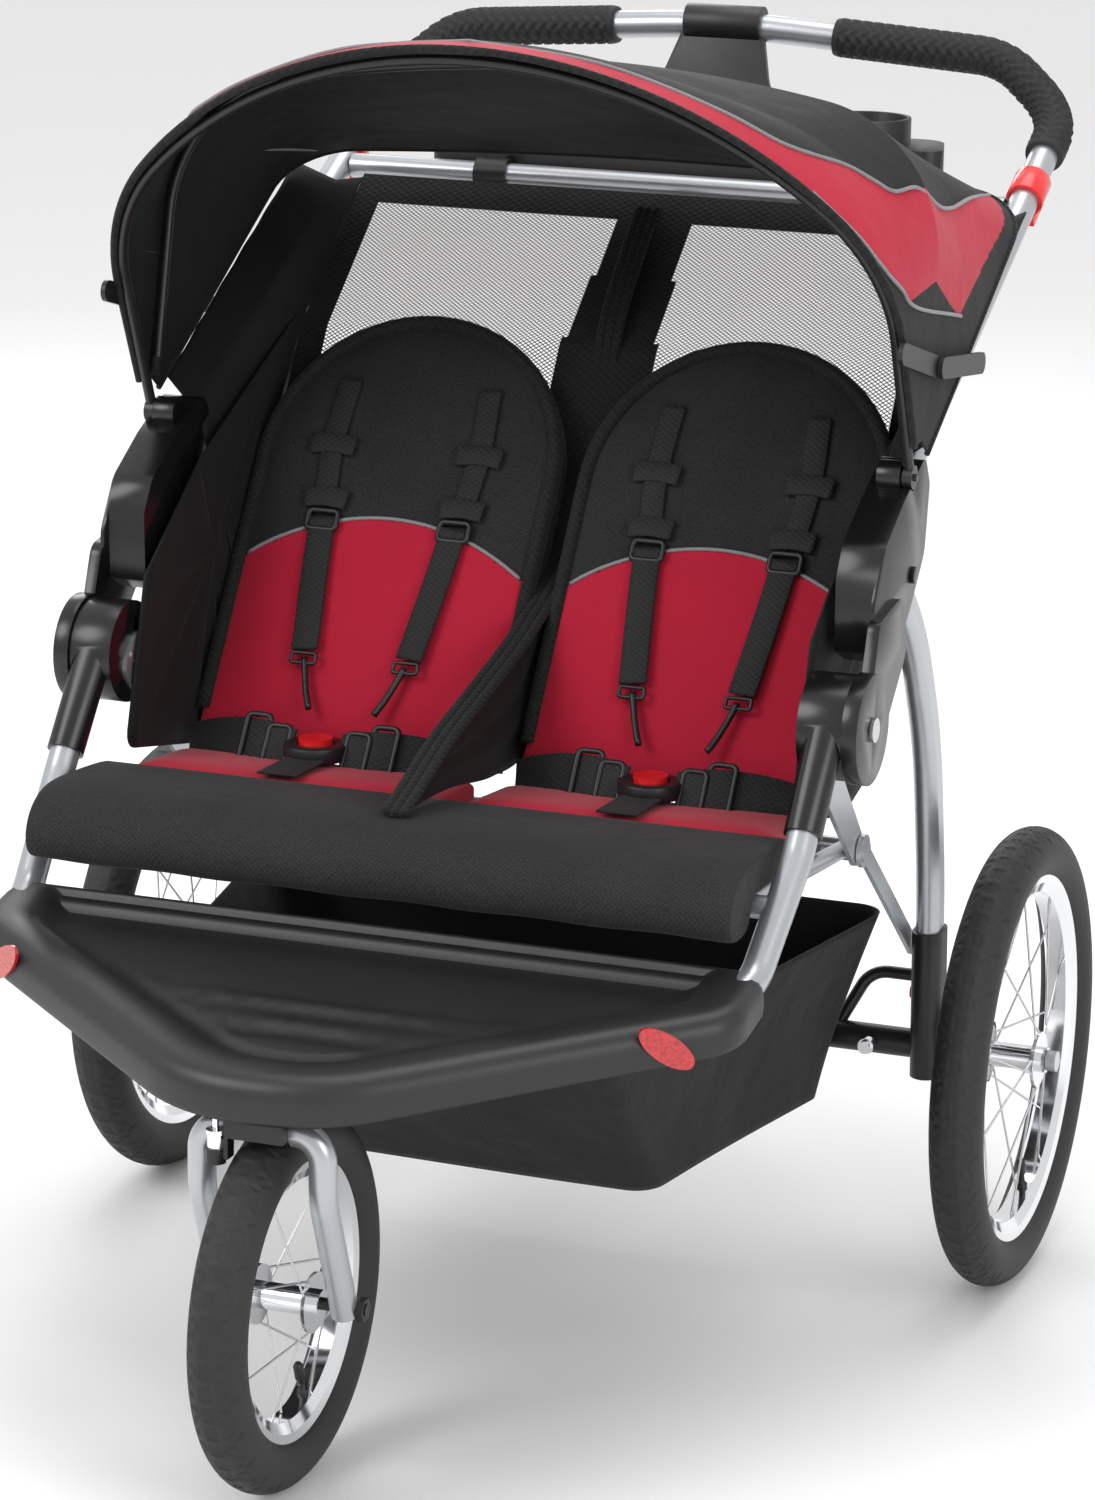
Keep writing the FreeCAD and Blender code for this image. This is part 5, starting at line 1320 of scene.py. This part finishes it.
def build_back_cloth(look):
    """Back cloth: see-through windows above, plain cloth below, knit bands round them."""
    points, slots = [], []
    across, tall = 116, 100
    for i in range(across + 1):
        for j in range(tall + 1):
            points.append(back_cloth_spot(-289 + 578 * i / across, j / tall))
    for i in range(across):
        for j in range(tall):
            x, t = abs(-289 + 578 * (i + 0.5) / across), (j + 0.5) / tall
            slots.append(1 if 30 + 40 * t < x < 266 and 0.06 < t < 0.6 else 0)
    piece = mesh_piece("back_cloth", points, grid_faces(across, tall))
    lay_weave(piece, tall + 1, 0.578 / across, 0.57 / tall)
    coat(piece, finish("Knit binding"))
    piece.data.materials.append(finish("Window mesh"))
    piece.data.polygons.foreach_set("material_index", slots)
    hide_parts("back_panel")
    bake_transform(piece)


# ------------------------------------------------------------------ harness
def frame_loop(name, centre, across, up, width, height, rod=0.0026):
    """A rounded rectangular ring, such as a webbing slider."""
    outline = rounded_outline([(-width / 2, -height / 2), (width / 2, -height / 2),
                               (width / 2, height / 2), (-width / 2, height / 2)],
                              [min(width, height) * 0.22] * 4, 4, 3)
    line = [centre + across * p[0] + up * p[1] for p in outline]
    return coat(piping(name, line, rod, closed=True), finish("Black moulding"))


def build_harness(look):
    """Shoulder, lap and crotch webbing with sliders, rings and hooks."""
    up = back_spot(0, 1, 0) - back_spot(0, 0, 0)
    up.normalize()
    across = Vector((1, 0, 0))
    for name, side in SIDES:
        middle = side * SEAT_MIDDLE
        parts = []
        for way in (1, -1):
            def place(offset, along, lift=3.0):
                return back_spot(middle + way * offset, along,
                                 back_front(offset, along) + lift)
            fixed = smooth_line([place(65, 346), place(68, 282), place(63, 226)], 30)
            parts.append(coat(sweep("strap", fixed, strap_outline(0.020, 0.0018),
                                    steady(across)), finish("Webbing")))
            for along, offset, wide in ((284, 68, 42), (234, 63, 40)):
                tab = [place(offset - wide / 2, along - 2, 4.4), place(offset, along, 4.8),
                       place(offset + wide / 2, along - 2, 4.4)]
                parts.append(coat(sweep("tab", smooth_line(tab, 12), strap_outline(0.018, 0.002),
                                        steady(up)), finish("Webbing")))
            parts.append(frame_loop("slider", place(61, 212, 5), across, up, 0.027, 0.017))
            loose = smooth_line([place(61, 214, 5), place(57, 170, 6), place(48, 92, 8)], 40)
            parts.append(coat(sweep("strap", loose, strap_outline(0.024, 0.0032),
                                    steady(across)), finish("Webbing")))
            parts.append(frame_loop("ring", place(47, 84, 8.5), across, up, 0.022, 0.009, 0.0018))
            hook = [place(46, 84, 8.5), place(42, 70, 9), place(36, 52, 11), place(30, 38, 14)]
            parts.append(coat(piping("hook", smooth_line(hook, 16), 0.0030),
                              finish("Black moulding")))
        settle(joined("shoulder_straps_" + name, parts), "seat_back_" + name, "webbing")
    laps = []
    forward = slope_spot(0, -1, 0) - slope_spot(0, 0, 0)
    forward.normalize()
    for side in (1, -1):
        middle = side * SEAT_MIDDLE
        for way in (1, -1):
            def near(offset, y, high):
                return slope_spot(middle + way * offset, y, high)
            line = [near(24, -262, 42), near(50, -258, 46), near(84, -247, 44), near(112, -238, 38),
                    near(128, -234, 32)]
            laps.append(coat(sweep("strap", smooth_line(line, 30), strap_outline(0.036, 0.0028),
                                   steady((0, 0.55, 0.84))), finish("Webbing")))
            tilt = Vector((0, 0.55, 0.84))
            laps.append(frame_loop("slider", near(58, -256, 47), across, tilt, 0.022, 0.042))
            laps.append(frame_loop("lug", near(36, -261, 44), across, tilt, 0.020, 0.034))
        line = [slope_spot(middle, -285, 38), slope_spot(middle, -312, 36.0),
                slope_spot(middle, -343, 34.4)]
        laps.append(coat(sweep("strap", smooth_line(line, 20), strap_outline(0.036, 0.0022),
                               steady(across)), finish("Webbing")))
    settle(joined("lap_straps", laps), "front_frame", "webbing", "harness_webbing")


# ------------------------------------------------------------------ the add-on
class StrollerLook(bpy.types.PropertyGroup):
    """Colours and lights that a user may change."""
    frame_silver: bpy.props.FloatVectorProperty(
        name="Frame silver", description="Paint on the frame tubes", subtype="COLOR", size=3,
        default=(0.46, 0.48, 0.50), min=0, max=1)
    cloth_red: bpy.props.FloatVectorProperty(
        name="Cloth red", description="Coloured cloth panels", subtype="COLOR", size=3,
        default=(0.50, 0.008, 0.035), min=0, max=1)
    plastic_red: bpy.props.FloatVectorProperty(
        name="Lever red", description="Levers, buttons and lenses", subtype="COLOR", size=3,
        default=(0.72, 0.012, 0.014), min=0, max=1)
    plastic_black: bpy.props.FloatVectorProperty(
        name="Moulding black", description="Console, sockets and clamps", subtype="COLOR", size=3,
        default=(0.011, 0.011, 0.012), min=0, max=1)
    floor_tone: bpy.props.FloatVectorProperty(
        name="Floor tone", description="Studio floor", subtype="COLOR", size=3,
        default=(0.92, 0.92, 0.92), min=0, max=1)
    air_light: bpy.props.FloatProperty(
        name="Air light", description="Strength of the surrounding light", default=0.85, min=0)
    key_light: bpy.props.FloatProperty(
        name="Key light", description="Power of the main soft light", default=90.0, min=0,
        subtype="POWER")


class StrollerMaker:
    """What every operator of the stroller shares."""
    bl_options = {"REGISTER", "UNDO"}
    maker = None

    def execute(self, context):
        type(self).maker(context.scene.stroller_look)
        return {"FINISHED"}


class STROLLER_OT_stage(StrollerMaker, bpy.types.Operator):
    """Add the studio floor, lights and camera"""
    bl_idname = "stroller.stage"
    bl_label = "Stage"
    maker = staticmethod(build_stage)


class STROLLER_OT_materials(StrollerMaker, bpy.types.Operator):
    """Make every finish and put it on the frame's own parts"""
    bl_idname = "stroller.materials"
    bl_label = "Finishes"

    def execute(self, context):
        build_materials(context.scene.stroller_look)
        finish_nodes()
        return {"FINISHED"}


class STROLLER_OT_wheels(StrollerMaker, bpy.types.Operator):
    """Make the treaded tyres and their valves"""
    bl_idname = "stroller.wheels"
    bl_label = "Wheels"
    maker = staticmethod(build_wheels)


class STROLLER_OT_tray(StrollerMaker, bpy.types.Operator):
    """Make the moulded footrest tray"""
    bl_idname = "stroller.tray"
    bl_label = "Footrest tray"
    maker = staticmethod(build_tray)


class STROLLER_OT_hood(StrollerMaker, bpy.types.Operator):
    """Make the canopy hood"""
    bl_idname = "stroller.hood"
    bl_label = "Canopy hood"
    maker = staticmethod(build_hood)


class STROLLER_OT_seat_backs(StrollerMaker, bpy.types.Operator):
    """Make the back cushions"""
    bl_idname = "stroller.seat_backs"
    bl_label = "Seat backs"
    maker = staticmethod(build_seat_backs)


class STROLLER_OT_seat_pads(StrollerMaker, bpy.types.Operator):
    """Make the seat cushions"""
    bl_idname = "stroller.seat_pads"
    bl_label = "Seat cushions"
    maker = staticmethod(build_seat_pads)


class STROLLER_OT_front_pad(StrollerMaker, bpy.types.Operator):
    """Make the padded panel at the front of the seats"""
    bl_idname = "stroller.front_pad"
    bl_label = "Front panel"
    maker = staticmethod(build_front_pad)


class STROLLER_OT_grips(StrollerMaker, bpy.types.Operator):
    """Make the foam grips"""
    bl_idname = "stroller.grips"
    bl_label = "Handle grips"
    maker = staticmethod(build_grips)


class STROLLER_OT_mouldings(StrollerMaker, bpy.types.Operator):
    """Round the edges of the hinges, console, levers and sockets"""
    bl_idname = "stroller.mouldings"
    bl_label = "Mouldings"
    maker = staticmethod(build_mouldings)


class STROLLER_OT_basket(StrollerMaker, bpy.types.Operator):
    """Make the cloth basket"""
    bl_idname = "stroller.basket"
    bl_label = "Basket"
    maker = staticmethod(build_basket)


class STROLLER_OT_side_panels(StrollerMaker, bpy.types.Operator):
    """Make the cloth walls beside the seats"""
    bl_idname = "stroller.side_panels"
    bl_label = "Side cloths"
    maker = staticmethod(build_side_panels)


class STROLLER_OT_divider(StrollerMaker, bpy.types.Operator):
    """Make the cloth wall between the seats"""
    bl_idname = "stroller.divider"
    bl_label = "Divider"
    maker = staticmethod(build_divider)


class STROLLER_OT_wings(StrollerMaker, bpy.types.Operator):
    """Make the cloth between the back cloth and the hood"""
    bl_idname = "stroller.wings"
    bl_label = "Side wings"
    maker = staticmethod(build_wings)


class STROLLER_OT_back_cloth(StrollerMaker, bpy.types.Operator):
    """Make the back cloth with its mesh windows"""
    bl_idname = "stroller.back_cloth"
    bl_label = "Back cloth"
    maker = staticmethod(build_back_cloth)


class STROLLER_OT_harness(StrollerMaker, bpy.types.Operator):
    """Make the harness webbing"""
    bl_idname = "stroller.harness"
    bl_label = "Harness"
    maker = staticmethod(build_harness)


OPERATORS = (
    STROLLER_OT_stage, STROLLER_OT_materials, STROLLER_OT_wheels, STROLLER_OT_tray,
    STROLLER_OT_hood, STROLLER_OT_seat_backs, STROLLER_OT_seat_pads, STROLLER_OT_front_pad,
    STROLLER_OT_grips, STROLLER_OT_mouldings, STROLLER_OT_basket, STROLLER_OT_side_panels,
    STROLLER_OT_divider, STROLLER_OT_wings, STROLLER_OT_back_cloth, STROLLER_OT_harness,
)


class STROLLER_PT_pieces(bpy.types.Panel):
    """Lists the stroller's pieces and settings"""
    bl_idname = "STROLLER_PT_pieces"
    bl_label = "Jogging stroller"
    bl_space_type = "VIEW_3D"
    bl_region_type = "UI"
    bl_category = "Stroller"

    def draw(self, context):
        column = self.layout.column(align=True)
        for operator in OPERATORS:
            column.operator(operator.bl_idname)
        look = context.scene.stroller_look
        for name in look.bl_rna.properties.keys():
            if name not in ("rna_type", "name"):
                self.layout.prop(look, name)


CLASSES = (StrollerLook, *OPERATORS, STROLLER_PT_pieces)


def register():
    for item in CLASSES:
        bpy.utils.register_class(item)
    bpy.types.Scene.stroller_look = bpy.props.PointerProperty(type=StrollerLook)


def unregister():
    del bpy.types.Scene.stroller_look
    for item in reversed(CLASSES):
        bpy.utils.unregister_class(item)


def main():
    register()
    for operator in OPERATORS:
        space, name = operator.bl_idname.split(".")
        getattr(getattr(bpy.ops, space), name)()


if __name__ == "__main__":
    main()
